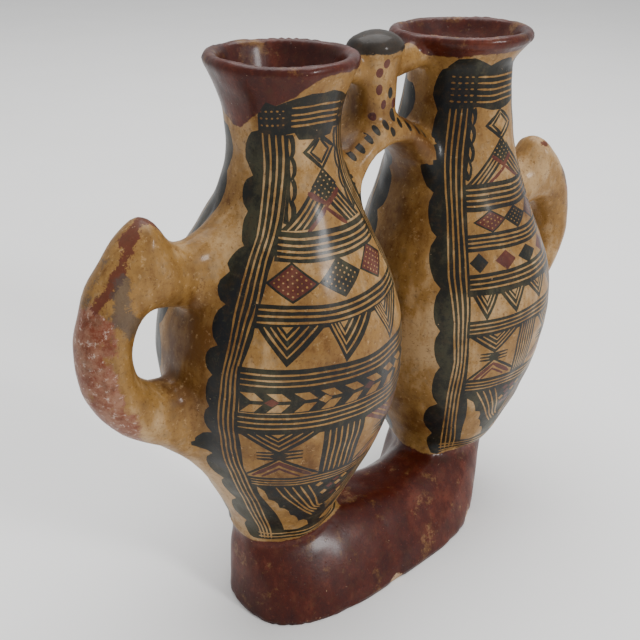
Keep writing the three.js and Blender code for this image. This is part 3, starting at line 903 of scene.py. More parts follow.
    # Lowest field: black, with an ochre tongue, light curves and a small check
    panel.area(BLACK, [(-146, 79.4), (-42, 78.6), (-63, 36), (-125, 36)])
    panel.both(panel.area, OCHRE, np.vstack([
        smooth_path([(-142, 78.6), (-141, 73), (-137, 65), (-131.5, 57), (-128, 50), (-125.5, 43.6)], 3),
        [(-112, 43), (-100.5, 44.6)],
        lobed([(-101, 45.4), (-106, 50), (-113, 50.4), (-116.5, 55), (-121, 56.6), (-124, 61),
               (-129.5, 63), (-131.5, 67.5), (-136, 69.5), (-137, 74), (-139.5, 78.6)], 3)[:-1]]))
    for step in range(5):
        panel.both(panel.line, OCHRE, smooth_path([
            (-131 + 4.6 * step, 78.4), (-124 + 4.6 * step, 69.5), (-113 + 3.4 * step, 60.5),
            (-101 + 1.6 * step, 53 + 1.6 * step)], 4), SLIT)
    for row in range(4):
        for column in range(-2 + row // 2, 3 - row // 2):
            turn, z = -94 + 5.6 * (column + row % 2 / 2), 77 - 3.5 * row
            panel.diamond((RED, OCHRE, BLACK)[(row + column) % 3], (turn - 2.6, z), (turn, z + 1.6),
                          (turn + 2.6, z), (turn, z - 1.7))
    for z in (41.2, 38.8, 36.8):
        panel.line(OCHRE, [(-152, z - 1), (-120, z - 0.5), (-94, z - 1.2), (-68, z - 1.5), (-36, z - 1)], 0.8)
    return panel


def paint_right_front(clay):
    """The right jar's photographed face."""
    inner = [(36, -117), (43, -118), (60, -118), (75, -121), (80, -125), (100, -125.5), (110, -126),
             (130, -126.5), (150, -127.5), (180, -127), (190, -124), (205, -121), (217, -120)]
    panel = Panel(clay, clay.right, -89.0, inner, 23)
    panel.border(
        [(-150, 224.5), (-165, 215), (-157.5, 206.5), (-159.5, 199), (-154, 191), (-162, 183),
         (-152, 174), (-154.5, 165), (-147, 156), (-150.5, 146), (-143, 134.5), (-146, 124.5),
         (-141.5, 115), (-144, 105), (-141, 95), (-145.5, 82), (-141.5, 72), (-151.5, 59.5),
         (-145, 49.5), (-150, 41), (-140, 34.5)],
        [(45, -136), (60, -136), (80, -135), (100, -133), (110, -134), (120, -134.5), (130, -136.5),
         (140, -138.5), (150, -139), (165, -141), (175, -143), (190, -144.5), (210, -144.5)],
        [(45, -124), (60, -127.5), (80, -128), (100, -127.5), (110, -127.5), (130, -128), (140, -129),
         (150, -129.5), (165, -131), (175, -130.5), (190, -129.5), (210, -127)], 4, 208.5)
    panel.both(panel.area, BLACK, [(-151, 208), (-150, 225), (-140, 228.5), (-125, 229.5), (-105, 225.8),
                                   (-95, 228.5), (-88, 229), (-88, 207), (-100, 207.5), (-115, 209)])
    for step in range(5):
        z = 221 - 2.5 * step
        panel.line(OCHRE, [(-118, z), (-89, z + 0.2), (-58, z - 0.4)], SLIT)
        for turn in (-144, -137, -129.8, -123.5):
            panel.both(lambda paint, place: panel.dot(paint, *place[0], 1.7, 0.8), OCHRE, [(turn, z + 0.1)])
    wave = lobed([(-118, 209), (-116.6, 205), (-119.6, 201.5), (-117.4, 197.6), (-120.6, 194),
                  (-118.6, 190), (-122, 186.5), (-121.4, 182.5), (-125, 179)])
    panel.both(panel.area, BLACK, np.vstack([wave, [(-128, 180), (-124, 192), (-121, 208)]]))
    for turn, z in ((-121.6, 204), (-122.4, 197), (-123.2, 190), (-124.6, 184)):
        panel.both(panel.area, OCHRE, [(turn, z + 2.8), (turn + 1.6, z + 0.6), (turn + 0.6, z - 2.2),
                                       (turn - 0.9, z - 0.4)])
    panel.ring(BLACK, (-106.5, 201), (-89.5, 207), (-71, 200.8), (-88.5, 195), 1.4)
    panel.ring(BLACK, (-99.5, 201), (-89.5, 205.4), (-78.5, 201), (-89, 196.8), 1.2)
    panel.fan((-94, 193.5), (-93, 184.5), (-110, 177.2), (-127, 177.2), 3)
    panel.fan((-82, 193.5), (-86, 184.5), (-72, 177.2), (-52, 177.2), 3)
    panel.diamond(BLACK, (-102, 189.5), (-89, 196), (-76, 189), (-87.5, 184.4), 4)
    panel.line(RED, [(-101.5, 188.4), (-88.5, 183.8), (-76, 187.6)], 1.8)
    panel.line(RED, [(-108, 177), (-87.5, 183.2), (-70, 177.6)], 1.4)
    panel.band(177.6, 166.6, (175.4, 173.2, 171, 168.8))
    for centre, wide, paint in ((-110.5, 13, RED), (-88, 12, BLACK), (-65, 12, RED)):
        panel.diamond(BLACK, (centre - wide, 162.3), (centre, 167), (centre + wide, 162), (centre, 157))
        panel.diamond(paint, (centre - wide + 2, 162.3), (centre, 166.2), (centre + wide - 2, 162),
                      (centre, 157.8), 4)
    panel.band(157.2, 150, (155.4, 153.6, 151.8))
    for centre, wide, paint in ((-121, 6, BLACK), (-103, 7.5, RED), (-84, 9, BLACK), (-64, 8, RED)):
        panel.diamond(paint, (centre - wide, 145.6), (centre, 149.5), (centre + wide, 145.2), (centre, 141.2))
    panel.band(140.6, 131, (138.6, 136.4, 134.2), 1.6)
    panel.nested_v(BLACK, (-125.5, 131.4), (-117.5, 120.4), (-110.5, 131.6), 3)
    panel.nested_v(BLACK, (-109, 131.8), (-99.5, 122), (-91.5, 133), 3)
    panel.nested_v(BLACK, (-90, 133), (-79.5, 123.5), (-70, 133), 3)
    panel.nested_v(BLACK, (-68.5, 133), (-60, 123), (-52, 132), 3)
    panel.band(120.2, 111.8, (118.4, 116.3, 114.2), 3.2)
    for turned in (False, True):
        def at(turn, z):
            return (-178 - turn, z + 1) if turned else (turn, z)
        panel.nested_v(BLACK, at(-125.5, 112), at(-110.5, 103.2), at(-96.5, 114.5), 4)
        panel.diamond(BLACK, at(-115, 101.2), at(-110.3, 103.6), at(-105.5, 101.2), at(-110.3, 98.6))
        panel.chevron(BLACK, at(-125, 88), at(-110, 99.6), at(-94.5, 90), 1.3)
        panel.chevron(RED, at(-121, 88), at(-110, 96.8), at(-98, 89.4), 1.9)
        panel.chevron(RED, at(-117, 88), at(-110, 93.6), at(-102, 89), 1.3)
        for z in (103, 101.2, 99.4):
            panel.line(BLACK, [at(-119, z), at(-102, z)], 1.1)
    panel.uprights(-96, -82, 115.5, 88, 6)
    panel.band(88, 80, (85.8, 83.8, 81.8))
    panel.area(BLACK, [(-127, 80.6), (-51, 80.6), (-60, 34.6), (-118, 34.6)])
    panel.both(panel.area, OCHRE, np.vstack([
        smooth_path([(-122.5, 76), (-121, 70), (-120, 62), (-119.5, 53), (-118, 43)], 3),
        [(-108, 42.5), (-95, 44)],
        lobed([(-96, 45), (-99, 50), (-103, 51.5), (-105, 56.5), (-108, 58.5), (-109.5, 64),
               (-114, 65.5), (-116.5, 71), (-120.5, 76)], 3)[:-1]]))
    for step in range(4):
        panel.both(panel.line, OCHRE, smooth_path([
            (-117 + 4.4 * step, 79.6), (-110 + 4 * step, 70.5), (-102 + 3 * step, 61),
            (-94 + 1.2 * step, 54 + 1.6 * step)], 4), SLIT)
    for row in range(4):
        for column in range(-1, 2 - row // 2):
            turn, z = -89 + 5.6 * (column + row % 2 / 2), 78 - 3.5 * row
            panel.diamond((RED, OCHRE, RED)[(row + column) % 3], (turn - 2.6, z), (turn, z + 1.6),
                          (turn + 2.6, z), (turn, z - 1.7))
    for z in (40.6, 38.4, 36.4):
        panel.line(OCHRE, [(-138, z - 0.6), (-110, z), (-89, z), (-60, z - 0.4), (-40, z - 0.6)], 0.8)
    return panel


def paint_back(clay, jar, notches, seed):
    """The face away from the photo: the same kind of pattern, plainer."""
    inner = [(36, 58), (60, 52), (80, 44), (110, 40), (140, 42), (165, 46), (185, 52), (217, 57)]
    panel = Panel(clay, jar, 90.0, inner, seed)
    slit_out = [(37, 38), (60, 32), (100, 28), (140, 30), (180, 35), (217, 36)]
    slit_in = [(37, 51), (60, 45), (80, 39), (110, 35.5), (140, 37), (180, 46), (217, 52)]
    panel.border(notches, slit_out, slit_in, 3, 214)
    panel.both(panel.area, BLACK, [(32, 216), (40, 225), (60, 227.5), (75, 225.5), (91, 228), (91, 212),
                                   (60, 212)])
    for z in (223, 220, 217):
        panel.line(OCHRE, [(56, z), (90, z + 0.3), (124, z)], SLIT)
    panel.ring(BLACK, (70, 203), (90, 212), (110, 203), (90, 195), 1.5)
    panel.diamond(BLACK, (79, 203), (90, 207), (101, 203), (90, 199.4), 3)
    panel.fan((88, 195.5), (89, 187.5), (74, 181), (56, 181), 3)
    panel.fan((92, 195.5), (91, 187.5), (106, 181), (124, 181), 3)
    panel.band(181.5, 173, (179.2, 177, 174.9))
    for centre, paint in ((61, BLACK), (90, RED), (119, BLACK)):
        panel.diamond(paint, (centre - 13.5, 166.5), (centre, 172.4),
                      (centre + 13.5, 166.5), (centre, 160.6), 3)
    panel.band(160, 152, (157.6, 155.2))
    for left in (43, 74.5, 106):
        panel.nested_v(BLACK, (left, 152.3), (left + 15.5, 137.5), (left + 31, 152.3), 3)
    panel.band(137, 128.5, (134.8, 132.6, 130.6))
    for step in range(7):
        turn = 48 + 14 * step
        panel.diamond(BLACK if step % 2 else RED, (turn - 6, 123.5), (turn, 127.5),
                      (turn + 6, 123.5), (turn, 119.5))
    panel.band(119, 111, (117, 115, 113))
    panel.nested_v(BLACK, (43, 111.4), (61, 99.5), (79, 111.4), 3)
    panel.nested_v(BLACK, (43, 86), (61, 98.5), (79, 86), 3)
    panel.nested_v(BLACK, (101, 111.4), (119, 99.5), (137, 111.4), 3)
    panel.nested_v(BLACK, (101, 86), (119, 98.5), (137, 86), 3)
    panel.uprights(80.5, 99.5, 111.2, 85.6, 5)
    panel.band(86, 78.5, (84, 82, 80.2))
    panel.nested_v(BLACK, (48, 78.8), (90, 50), (132, 78.8), 5)
    panel.area(BLACK, [(56, 45), (124, 45), (124, 36), (56, 36)])
    for z in (42, 39):
        panel.line(OCHRE, [(48, z), (90, z), (132, z)], 0.8)
    return panel


def paint_bridge(clay):
    """Spots along the bridge and on the post's front."""
    front = BridgeFront(clay, 31)
    black = [(-25.2, 198.7), (-20.9, 200.9), (-16.2, 203.5), (-11.8, 205.9), (-6.9, 207.4), (-1.9, 210.4),
             (-3.3, 219.2), (-4.8, 204.6), (1, 206.9), (7, 204.5), (13.2, 202), (18.6, 199.4)]
    red = [(-11.2, 210.8), (-6.6, 215.1), (-8.9, 221.3), (-0.8, 214.8), (4.8, 209.2), (11.2, 206)]
    for x, z in black:
        front.oval(BLACK, x, z, tall=4.8 if z > 209 else 3.9)
    for x, z in red:
        front.oval(RED, x, z, 2.8, 4.2 if z > 212 else 3.2)
    for x, z in ((-9.4, 227.8), (-6.6, 231)):
        front.oval(RED, x, z, 3.2, 3.6)
    return front


# Lower edge of the red slip round each mouth: turn in degrees and height in millimetres
MOUTH_SLIP = {
    -1: [(-150, 223), (-118, 229.5), (-104, 234.5), (-94, 236), (0, 236), (60, 235.5), (110, 233),
         (145, 226), (160, 220), (170, 219.5), (180, 217.2), (190, 217)],
    1: [(-180, 232.5), (-150, 231.5), (-120, 233), (-60, 233.5), (0, 233), (90, 232), (140, 233)],
}

# Soft patches of the ochre: X, Y, Z and radius in millimetres, and how pale (or how dark) they are. The dark
# patches between the jars and beside the post are painted shade.
TONE_AND_SHADE_PATCHES = [
    (-92, -8, 66, 24, 0.9), (-88, 8, 60, 22, 0.6), (-104, -10, 130, 20, -1.0), (-103, -2, 148, 14, -0.8),
    (-96, -18, 100, 12, -0.5), (-78, -16, 205, 16, 0.6), (-76, -14, 181, 12, 0.5), (12, -12, 168, 24, -0.75),
    (6, -18, 118, 22, 0.8), (12, -22, 92, 20, 0.3), (22, -10, 60, 16, -0.7), (8, -14, 205, 12, -0.5),
    # (-28, 2, 222), (-15, -2, 214) and (-23, -3, 207) darken the recess left of the post as painted shade.
    (-28, 2, 222, 9, -0.9), (22, -6, 215, 12, -0.7), (-4, -12, 212, 14, 0.3),
    (-15, -2, 214, 7, -1.2), (-23, -3, 207, 6, -1.0), (104, -8, 172, 16, 0.7),
    (110, 6, 120, 14, 0.4), (-112, -10, 172, 9, -0.5), (-122, -8, 120, 14, 0.3),
]

# Paint and soot left along the handles' ridges, and painted shade down the post's left flank: paths of X, Y,
# Z in millimetres, and half a width
RIDGE_PAINT = [
    ([(-107, -2, 186), (-111, -1, 190.5), (-114.5, -1, 192.5), (-118.5, -2, 190), (-122, -2, 186)], 3.0),
    ([(-119.5, -5, 187.5), (-126, -6.5, 180), (-132, -7.5, 173), (-137.5, -6, 166.5)], 2.2),
    ([(112, -4, 179), (117, -4, 181.5), (122, -4, 178), (127, -5, 170)], 3.2),
]
# The last path, down the post's left flank, is painted shade in its recess; the others are soot on the
# handles.
SOOT_AND_SHADE = [([(-128.5, -9.5, 174), (-130, -9.5, 166)], 3.2), ([(-130.5, -9.5, 163), (-126, -9.5, 158)], 4.6),
        ([(-131, 0, 181), (-137, -1, 174), (-141, -2, 168)], 2.8), ([(130, -6, 165), (134, -5, 155)], 4.5),
        ([(-29, 0, 226), (-28, -4, 212)], 5.0)]


def red_slip(clay, p):
    """How far inside the red slip each point lies, in millimetres."""
    between = np.exp(-(((p[:, 0] - clay.span["middle"]) / 24) ** 2))
    inside = clay.foot_height - 1.0 + 5 * between - p[:, 2]
    for jar in clay.jars:
        _, turn = jar.polar(p)
        table = np.array(MOUTH_SLIP[jar.side], float)
        lowest = np.interp(np.degrees(turn), table[:, 0], table[:, 1], period=360)
        mouth = np.minimum(p[:, 2] - lowest * jar.height / PATTERN_HEIGHT, 2.6 - jar.wall_distance(p))
        throat = np.minimum(3.2 - clay.jar_chamber(jar, p), p[:, 2] - 120)
        inside = np.maximum(inside, np.maximum(mouth, throat))
    return np.clip(inside, -10, 10)


def cap_paint(clay, p):
    """How far inside the cap's black paint each point lies, in millimetres."""
    base = clay.left.height - CAP["sink"]
    return np.clip(np.minimum(1.2 - clay.cap(p), p[:, 2] - base + 0.6), -5, 5)


def patch_tone_and_shade(p):
    """Where the ochre is paler than usual, up to 1, or darker, down to -1. Between the jars and beside the
    post the darkening is painted shade.
    """
    tone_and_shade = 0.25 * waves(p, 81, 6, 35, 80)
    for x, y, z, radius, value in TONE_AND_SHADE_PATCHES:
        away = np.linalg.norm(p - (x, y, z), axis=1) / radius
        tone_and_shade += value * np.exp(-away ** 2)
    return np.clip(tone_and_shade, -1, 1)


def rosy_wear(clay, p, normals):
    """How pink and pitted the handles' outer sides are, from 0 to 1."""
    result = np.zeros(len(p))
    for jar in clay.jars:
        x, _ = jar.axis(jar.belly_at * jar.height)
        beyond = (p[:, 0] - x) * jar.side - jar.belly
        facing = np.clip((normals[:, 0] * jar.side + 0.15) / 0.7, 0, 1)
        below = np.clip((0.71 * jar.height - p[:, 2]) / 9, 0, 1)
        share = facing * below * (0.75 if jar.side > 0 else 1)
        result = np.maximum(result, np.clip((beyond - 14) / 10, 0, 1) * share)
    return result


def along_paths(p, paths):
    """How far inside the nearest painted path each point lies, in millimetres."""
    result = np.full(len(p), -8.0)
    for path, half_width in paths:
        path = np.array(path, float)
        for a, b in zip(path, path[1:]):
            t = np.clip((p - a) @ (b - a) / ((b - a) @ (b - a)), 0, 1)
            away = np.linalg.norm(p - (a + t[:, None] * (b - a)), axis=1)
            result = np.maximum(result, half_width - away)
    return result


def surface_marks(clay, p, normals):
    """What the paints need to know at each point, by attribute name."""
    steepness = np.clip(np.linalg.norm(clay.gradient(p), axis=1), 0.4, 1.6)
    return {
        "red_slip": red_slip(clay, p),
        "cap_paint": cap_paint(clay, p),
        "ridge_paint": along_paths(p, RIDGE_PAINT),
        "soot_and_shade": along_paths(p, SOOT_AND_SHADE),
        "tone_and_shade": patch_tone_and_shade(p),
        "rosy": rosy_wear(clay, p, normals),
        # How closed in each point is; the paints darken closed-in places as painted shade.
        "hollow_shade": np.clip(1 - clay.distance(p + 9 * normals) / steepness / 9, 0, 1),
        "edge": np.clip((clay.distance(p - 2 * normals) / steepness + 2) / 1.4, 0, 1),
        "chip": np.clip(0.5 - clay.chip(p), -3, 3),
    }


class Nodes:
    """Adds shader nodes to a tree and joins them up."""

    def __init__(self, tree):
        self.tree = tree

    def add(self, kind, inputs=None, **settings):
        node = self.tree.nodes.new(kind)
        for name, value in settings.items():
            setattr(node, name, value)
        for name, value in (inputs or {}).items():
            if isinstance(value, bpy.types.NodeSocket):
                self.tree.links.new(value, node.inputs[name])
            else:
                node.inputs[name].default_value = value
        return node

    def place(self):
        return self.add("ShaderNodeTexCoord").outputs["Object"]

    def stretched(self, x, y, z):
        return self.add("ShaderNodeMapping", {"Vector": self.place(), "Scale": (x, y, z)}).outputs["Vector"]

    def noise(self, size_mm, detail=3.0, rough=0.5, where=None, twist=0.0):
        node = self.add("ShaderNodeTexNoise", {
            "Vector": where or self.place(), "Scale": 1000 / size_mm, "Detail": detail, "Roughness": rough,
            "Distortion": twist})
        return node.outputs["Fac"]

    def mark(self, name):
        return self.add("ShaderNodeAttribute", attribute_name=name).outputs["Fac"]

    def sum(self, a, b):
        return self.math("ADD", a, b)

    def times(self, a, b):
        return self.math("MULTIPLY", a, b)

    def math(self, kind, a, b):
        return self.add("ShaderNodeMath", {0: a, 1: b}, operation=kind).outputs[0]

    def between(self, value, low, high, to_low=0.0, to_high=1.0):
        """Spreads a value over a new range, and holds it there."""
        node = self.add("ShaderNodeMapRange", {
            "Value": value, "From Min": low, "From Max": high, "To Min": to_low, "To Max": to_high})
        return node.outputs["Result"]

    def mix(self, share, a, b, blend="MIX"):
        node = self.add("ShaderNodeMix", {0: share, 6: a, 7: b}, data_type="RGBA", blend_type=blend)
        return node.outputs[2]


def colour(red, green, blue):
    """A screen colour, 0 to 255, as linear light."""
    def linear(value):
        value /= 255
        return value / 12.92 if value < 0.04045 else ((value + 0.055) / 1.055) ** 2.4
    return (linear(red), linear(green), linear(blue), 1.0)


def new_group(name, inputs, outputs):
    """An empty shader group with named inputs and outputs."""
    tree = bpy.data.node_groups.new(name, "ShaderNodeTree")
    for direction, sockets in (("INPUT", inputs), ("OUTPUT", outputs)):
        for label, kind, value in sockets:
            socket = tree.interface.new_socket(label, in_out=direction, socket_type=f"NodeSocket{kind}")
            if direction == "INPUT":
                socket.default_value = value
    nodes = Nodes(tree)
    return tree, nodes, nodes.add("NodeGroupInput").outputs, nodes.add("NodeGroupOutput").inputs


def mottling_group():
    """Cloudy hand-mixed slip: blotches, brush streaks and specks over a base colour."""
    grey = (0.5, 0.5, 0.5, 1)
    tree, nodes, given, result = new_group(
        "slip_mottling",
        [("Colour", "Color", grey), ("Pale", "Color", grey), ("Deep", "Color", grey), ("Tone and shade", "Float", 0.0)],
        [("Colour", "Color", None)])
    blotch = nodes.noise(30, 4, 0.6, twist=0.4)
    streak = nodes.noise(5, 4, 0.6, nodes.stretched(1, 1, 0.3))
    stain = nodes.between(nodes.noise(8, 6, 0.8), 0.3, 0.7, -0.2, 0.2)
    # Where the tone is low between the jars and beside the post, the darker cloud is painted shade.
    cloud = nodes.sum(nodes.sum(blotch, nodes.times(streak, 0.7)), nodes.times(given["Tone and shade"], 0.3))
    cloud = nodes.sum(cloud, stain)
    pale = nodes.between(cloud, 0.87, 1.12)
    deep = nodes.between(cloud, 0.83, 0.52)
    tinted = nodes.mix(nodes.times(pale, 0.85), given["Colour"], given["Pale"])
    tinted = nodes.mix(nodes.times(deep, 0.9), tinted, given["Deep"])
    speck = nodes.between(nodes.noise(1.5, 3, 0.7), 0.57, 0.68, 0, 0.6)
    tinted = nodes.mix(speck, tinted, given["Deep"])
    light_speck = nodes.between(nodes.noise(2.2, 4, 0.75), 0.59, 0.7, 0, 0.6)
    nodes.tree.links.new(nodes.mix(light_speck, tinted, given["Pale"]), result["Colour"])
    return tree


def hollow_shade_group():
    """Painted shade in the hollows, in a grime colour, and fine dark crazing."""
    tree, nodes, given, result = new_group(
        "hollow_shade_and_crazing", [("Colour", "Color", (0.5, 0.5, 0.5, 1)), ("Hollow shade", "Float", 0.0)],
        [("Colour", "Color", None)])
    ragged = nodes.sum(given["Hollow shade"], nodes.between(nodes.noise(9, 4, 0.65), 0.3, 0.7, -0.25, 0.25))
    # Painted shade: the colour darkens where the surface is closed in.
    hollow_shade_mask = nodes.between(ragged, 0.4, 0.95, 0, 0.75)
    shaded = nodes.mix(hollow_shade_mask, given["Colour"], colour(40, 22, 9))
    film = nodes.between(nodes.noise(4, 6, 0.75), 0.5, 0.66, 0, 0.42)
    nodes.tree.links.new(nodes.mix(film, shaded, colour(58, 38, 20)), result["Colour"])
    return tree


def wear_group():
    """Bare clay where the surface is chipped or rubbed through."""
    tree, nodes, given, result = new_group(
        "rubbed_through",
        [("Colour", "Color", (0.5, 0.5, 0.5, 1)), ("Chip", "Float", -3.0), ("Edge", "Float", 0.0)],
        [("Colour", "Color", None), ("Bare", "Float", None)])
    grain = nodes.noise(2.4, 4, 0.7)
    chipped = nodes.between(nodes.sum(given["Chip"], nodes.between(grain, 0.3, 0.7, -0.8, 0.8)), 0, 0.35)
    rubbed = nodes.between(nodes.sum(given["Edge"], nodes.between(grain, 0.3, 0.7, -0.4, 0.4)),
                           0.95, 1.2, 0, 0.6)
    pits = nodes.between(nodes.noise(1.7, 2, 0.5), 0.75, 0.79, 0, 0.7)
    bare = nodes.math("MAXIMUM", nodes.math("MAXIMUM", chipped, rubbed), pits)
    clay_colour = nodes.mix(grain, colour(138, 104, 74), colour(186, 158, 126))
    nodes.tree.links.new(nodes.mix(bare, given["Colour"], clay_colour), result["Colour"])
    nodes.tree.links.new(bare, result["Bare"])
    return tree


def burnish_group():
    """The uneven gloss and the fine relief of a hand-rubbed surface."""
    tree, nodes, given, result = new_group(
        "burnish", [("Roughness", "Float", 0.4), ("Bare", "Float", 0.0)],
        [("Roughness", "Float", None), ("Height", "Float", None)])
    rubbed = nodes.noise(6, 4, 0.6, nodes.stretched(1, 1, 0.35))
    fine = nodes.noise(0.9, 3, 0.6)
    rough = nodes.sum(given["Roughness"], nodes.between(rubbed, 0.25, 0.75, -0.1, 0.14))
    rough = nodes.sum(rough, nodes.times(given["Bare"], 0.3))
    nodes.tree.links.new(rough, result["Roughness"])
    height = nodes.sum(nodes.times(rubbed, 0.5), nodes.times(fine, 0.22))
    pits = nodes.between(nodes.noise(1.7, 2, 0.5), 0.68, 0.77, 0, -0.6)
    height = nodes.sum(nodes.sum(height, pits), nodes.times(given["Bare"], -0.5))
    nodes.tree.links.new(height, result["Height"])
    return tree


def finish_paint(nodes, groups, tinted, roughness, bump=0.25, gloss=0.2):
    """Paints shade into the hollows, adds crazing and wear to a colour, and hands it to the material's
    shader.
    """
    def use(name, inputs):
        node = nodes.add("ShaderNodeGroup", node_tree=groups[name])
        for label, value in inputs.items():
            if isinstance(value, bpy.types.NodeSocket):
                nodes.tree.links.new(value, node.inputs[label])
            else:
                node.inputs[label].default_value = value
        return node.outputs
    shaded_colour = use("hollow_shade_and_crazing", {"Colour": tinted, "Hollow shade": nodes.mark("hollow_shade")})["Colour"]
    worn = use("wear", {"Colour": shaded_colour, "Chip": nodes.mark("chip"), "Edge": nodes.mark("edge")})
    burnished = use("burnish", {"Roughness": roughness, "Bare": worn["Bare"]})
    shader = nodes.tree.nodes["Principled BSDF"]
    nodes.tree.links.new(worn["Colour"], shader.inputs["Base Color"])
    nodes.tree.links.new(burnished["Roughness"], shader.inputs["Roughness"])
    relief = nodes.add("ShaderNodeBump", {"Strength": bump, "Distance": 0.0006,
                                          "Height": burnished["Height"]})
    nodes.tree.links.new(relief.outputs["Normal"], shader.inputs["Normal"])
    shader.inputs["Coat Weight"].default_value = gloss
    shader.inputs["Coat Roughness"].default_value = 0.16
    shader.inputs["Specular IOR Level"].default_value = 0.15


def mottled(nodes, groups, base, pale, deep):
    node = nodes.add("ShaderNodeGroup", {"Colour": base, "Pale": pale, "Deep": deep,
                                         "Tone and shade": nodes.mark("tone_and_shade")}, node_tree=groups["mottling"])
    return node.outputs["Colour"]


def new_material(name):
    material = bpy.data.materials.new(name)
    material.use_nodes = True
    return material, Nodes(material.node_tree)


def make_paints(colours):
    """The three paints, in the order of the strokes' numbers."""
    groups = {"mottling": mottling_group(), "hollow_shade_and_crazing": hollow_shade_group(), "wear": wear_group(),
              "burnish": burnish_group()}
    ochre, black, red = ((*getattr(colours, name), 1.0) for name in ("ochre", "black", "wine"))

    first, nodes = new_material("ochre_slip")
    ground = mottled(nodes, groups, ochre, colour(176, 144, 102), colour(84, 50, 12))
    rosy = nodes.sum(nodes.mark("rosy"), nodes.between(nodes.noise(7, 4, 0.7), 0.3, 0.7, -0.45, 0.45))
    rose = nodes.mix(nodes.between(nodes.noise(6, 6, 0.8), 0.4, 0.6),
                     colour(104, 44, 28), colour(140, 100, 80))
    rose = nodes.mix(nodes.between(nodes.noise(2.4, 4, 0.75), 0.56, 0.64, 0, 0.8),
                     rose, colour(190, 164, 150))
    ground = nodes.mix(nodes.between(rosy, 0.45, 0.75, 0, 0.9), ground, rose)
    slip = mottled(nodes, groups, (*colours.foot, 1.0), colour(98, 44, 28), colour(44, 14, 11))
    ragged = nodes.between(nodes.noise(5, 4, 0.7), 0.25, 0.75, -0.6, 0.6)
    covered = nodes.between(nodes.sum(nodes.mark("red_slip"), ragged), -0.15, 0.3)
    thin = nodes.between(nodes.noise(13, 6, 0.75), 0.57, 0.7, 1, 0.4)
    tinted = nodes.mix(nodes.times(covered, thin), ground, slip)
    torn = nodes.between(nodes.noise(5, 6, 0.8), 0.25, 0.75, -3.2, 3.2)
    ridge = nodes.between(nodes.sum(nodes.mark("ridge_paint"), torn), 0, 0.5, 0, 0.9)
    tinted = nodes.mix(ridge, tinted, nodes.mix(nodes.noise(3, 3), colour(62, 20, 14), colour(96, 44, 32)))
    # Soot on the handles, and painted shade down the post's left flank.
    soot_and_shade_mask = nodes.between(nodes.sum(nodes.mark("soot_and_shade"), torn), -0.2, 1.2, 0, 0.72)
    tinted = nodes.mix(soot_and_shade_mask, tinted, nodes.mix(nodes.noise(2.5, 4), colour(40, 38, 38), colour(84, 74, 66)))
    capped = nodes.between(nodes.sum(nodes.mark("cap_paint"), ragged), -0.1, 0.3)
    tinted = nodes.mix(nodes.times(capped, 0.95), tinted, colour(24, 24, 24))
    finish_paint(nodes, groups, tinted, nodes.between(covered, 0, 1, 0.5, 0.36), 0.5, 0.16)

    second, nodes = new_material("black_slip")
    ink = mottled(nodes, groups, black, colour(58, 56, 38), colour(12, 14, 18))
    scratched = nodes.noise(2.6, 4, 0.75, nodes.stretched(1, 1, 2.2))
    worn = nodes.between(scratched, 0.66, 0.76, 0, 0.5)
    finish_paint(nodes, groups, nodes.mix(worn, ink, colour(104, 80, 44)), 0.42, 0.35, 0.14)

    third, nodes = new_material("wine_red")
    wine = mottled(nodes, groups, red, colour(104, 60, 44), colour(44, 16, 14))
    worn = nodes.between(nodes.noise(2.4, 4, 0.75), 0.6, 0.72, 0, 0.6)
    finish_paint(nodes, groups, nodes.mix(worn, wine, colour(118, 88, 52)), 0.4, 0.35, 0.2)
    return [first, second, third]


# Tips of the back panels' scalloped border, as (turn, height).
BACK_TIPS = [(22, 216), (6, 210), (15, 199), (8, 190), (17, 180), (10, 170), (18, 160), (13, 150),
             (20, 140), (14, 130), (20, 120), (13, 109), (19, 98), (11, 88), (17, 78), (8, 67),
             (15, 57), (8, 46), (22, 36)]


def build_vessel(sizes, colours):
    clay = Clay(sizes)
    low, high = np.array(CAD_BOX[0]) / MM - GRID_MARGIN, np.array(CAD_BOX[1]) / MM + GRID_MARGIN
    points, quads = clay_surface(clay, low, high)
    centres = points[quads].mean(axis=1)
    normals = clay.normals(centres)
    faces = [paint_bridge(clay), paint_left_front(clay), paint_right_front(clay),
             paint_back(clay, clay.left, BACK_TIPS, 43), paint_back(clay, clay.right, BACK_TIPS, 57)]
    owners = np.full(len(quads), -1)
    for me, face in enumerate(faces):
        owners[(owners < 0) & face.holds(centres, normals)] = me
    polygons, paints = quads.tolist(), np.full(len(quads), OCHRE)
    for me, face in enumerate(faces):
        points, polygons, owners, paints = cut_strokes(face, points, polygons, owners, paints, me)
    used = np.unique(np.concatenate([np.array(polygon) for polygon in polygons]))
    number = np.full(len(points), -1)
    number[used] = np.arange(len(used))
    points = points[used]
    # A face that names one point twice is no valid face, so repeats are left out.
    polygons = [list(dict.fromkeys(number[polygon].tolist())) for polygon in polygons]
    whole = [place for place, polygon in enumerate(polygons) if len(polygon) > 2]
    polygons, paints = [polygons[place] for place in whole], paints[whole]
    normals = clay.normals(points)

    mesh = bpy.data.meshes.new("painted_vessel")
    mesh.from_pydata((points * MM).tolist(), [], polygons)
    for material in make_paints(colours):
        mesh.materials.append(material)
    mesh.polygons.foreach_set("material_index", paints)
    mesh.polygons.foreach_set("use_smooth", np.ones(len(mesh.polygons), bool))
    mesh.validate()
    mesh.update()
    for name, values in surface_marks(clay, points, normals).items():
        mesh.attributes.new(name, "FLOAT", "POINT").data.foreach_set("value", values)
    vessel = bpy.data.objects.new("painted_vessel", mesh)
    bpy.context.scene.collection.objects.link(vessel)
    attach(vessel, "root")
    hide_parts(NODE)
    return vessel


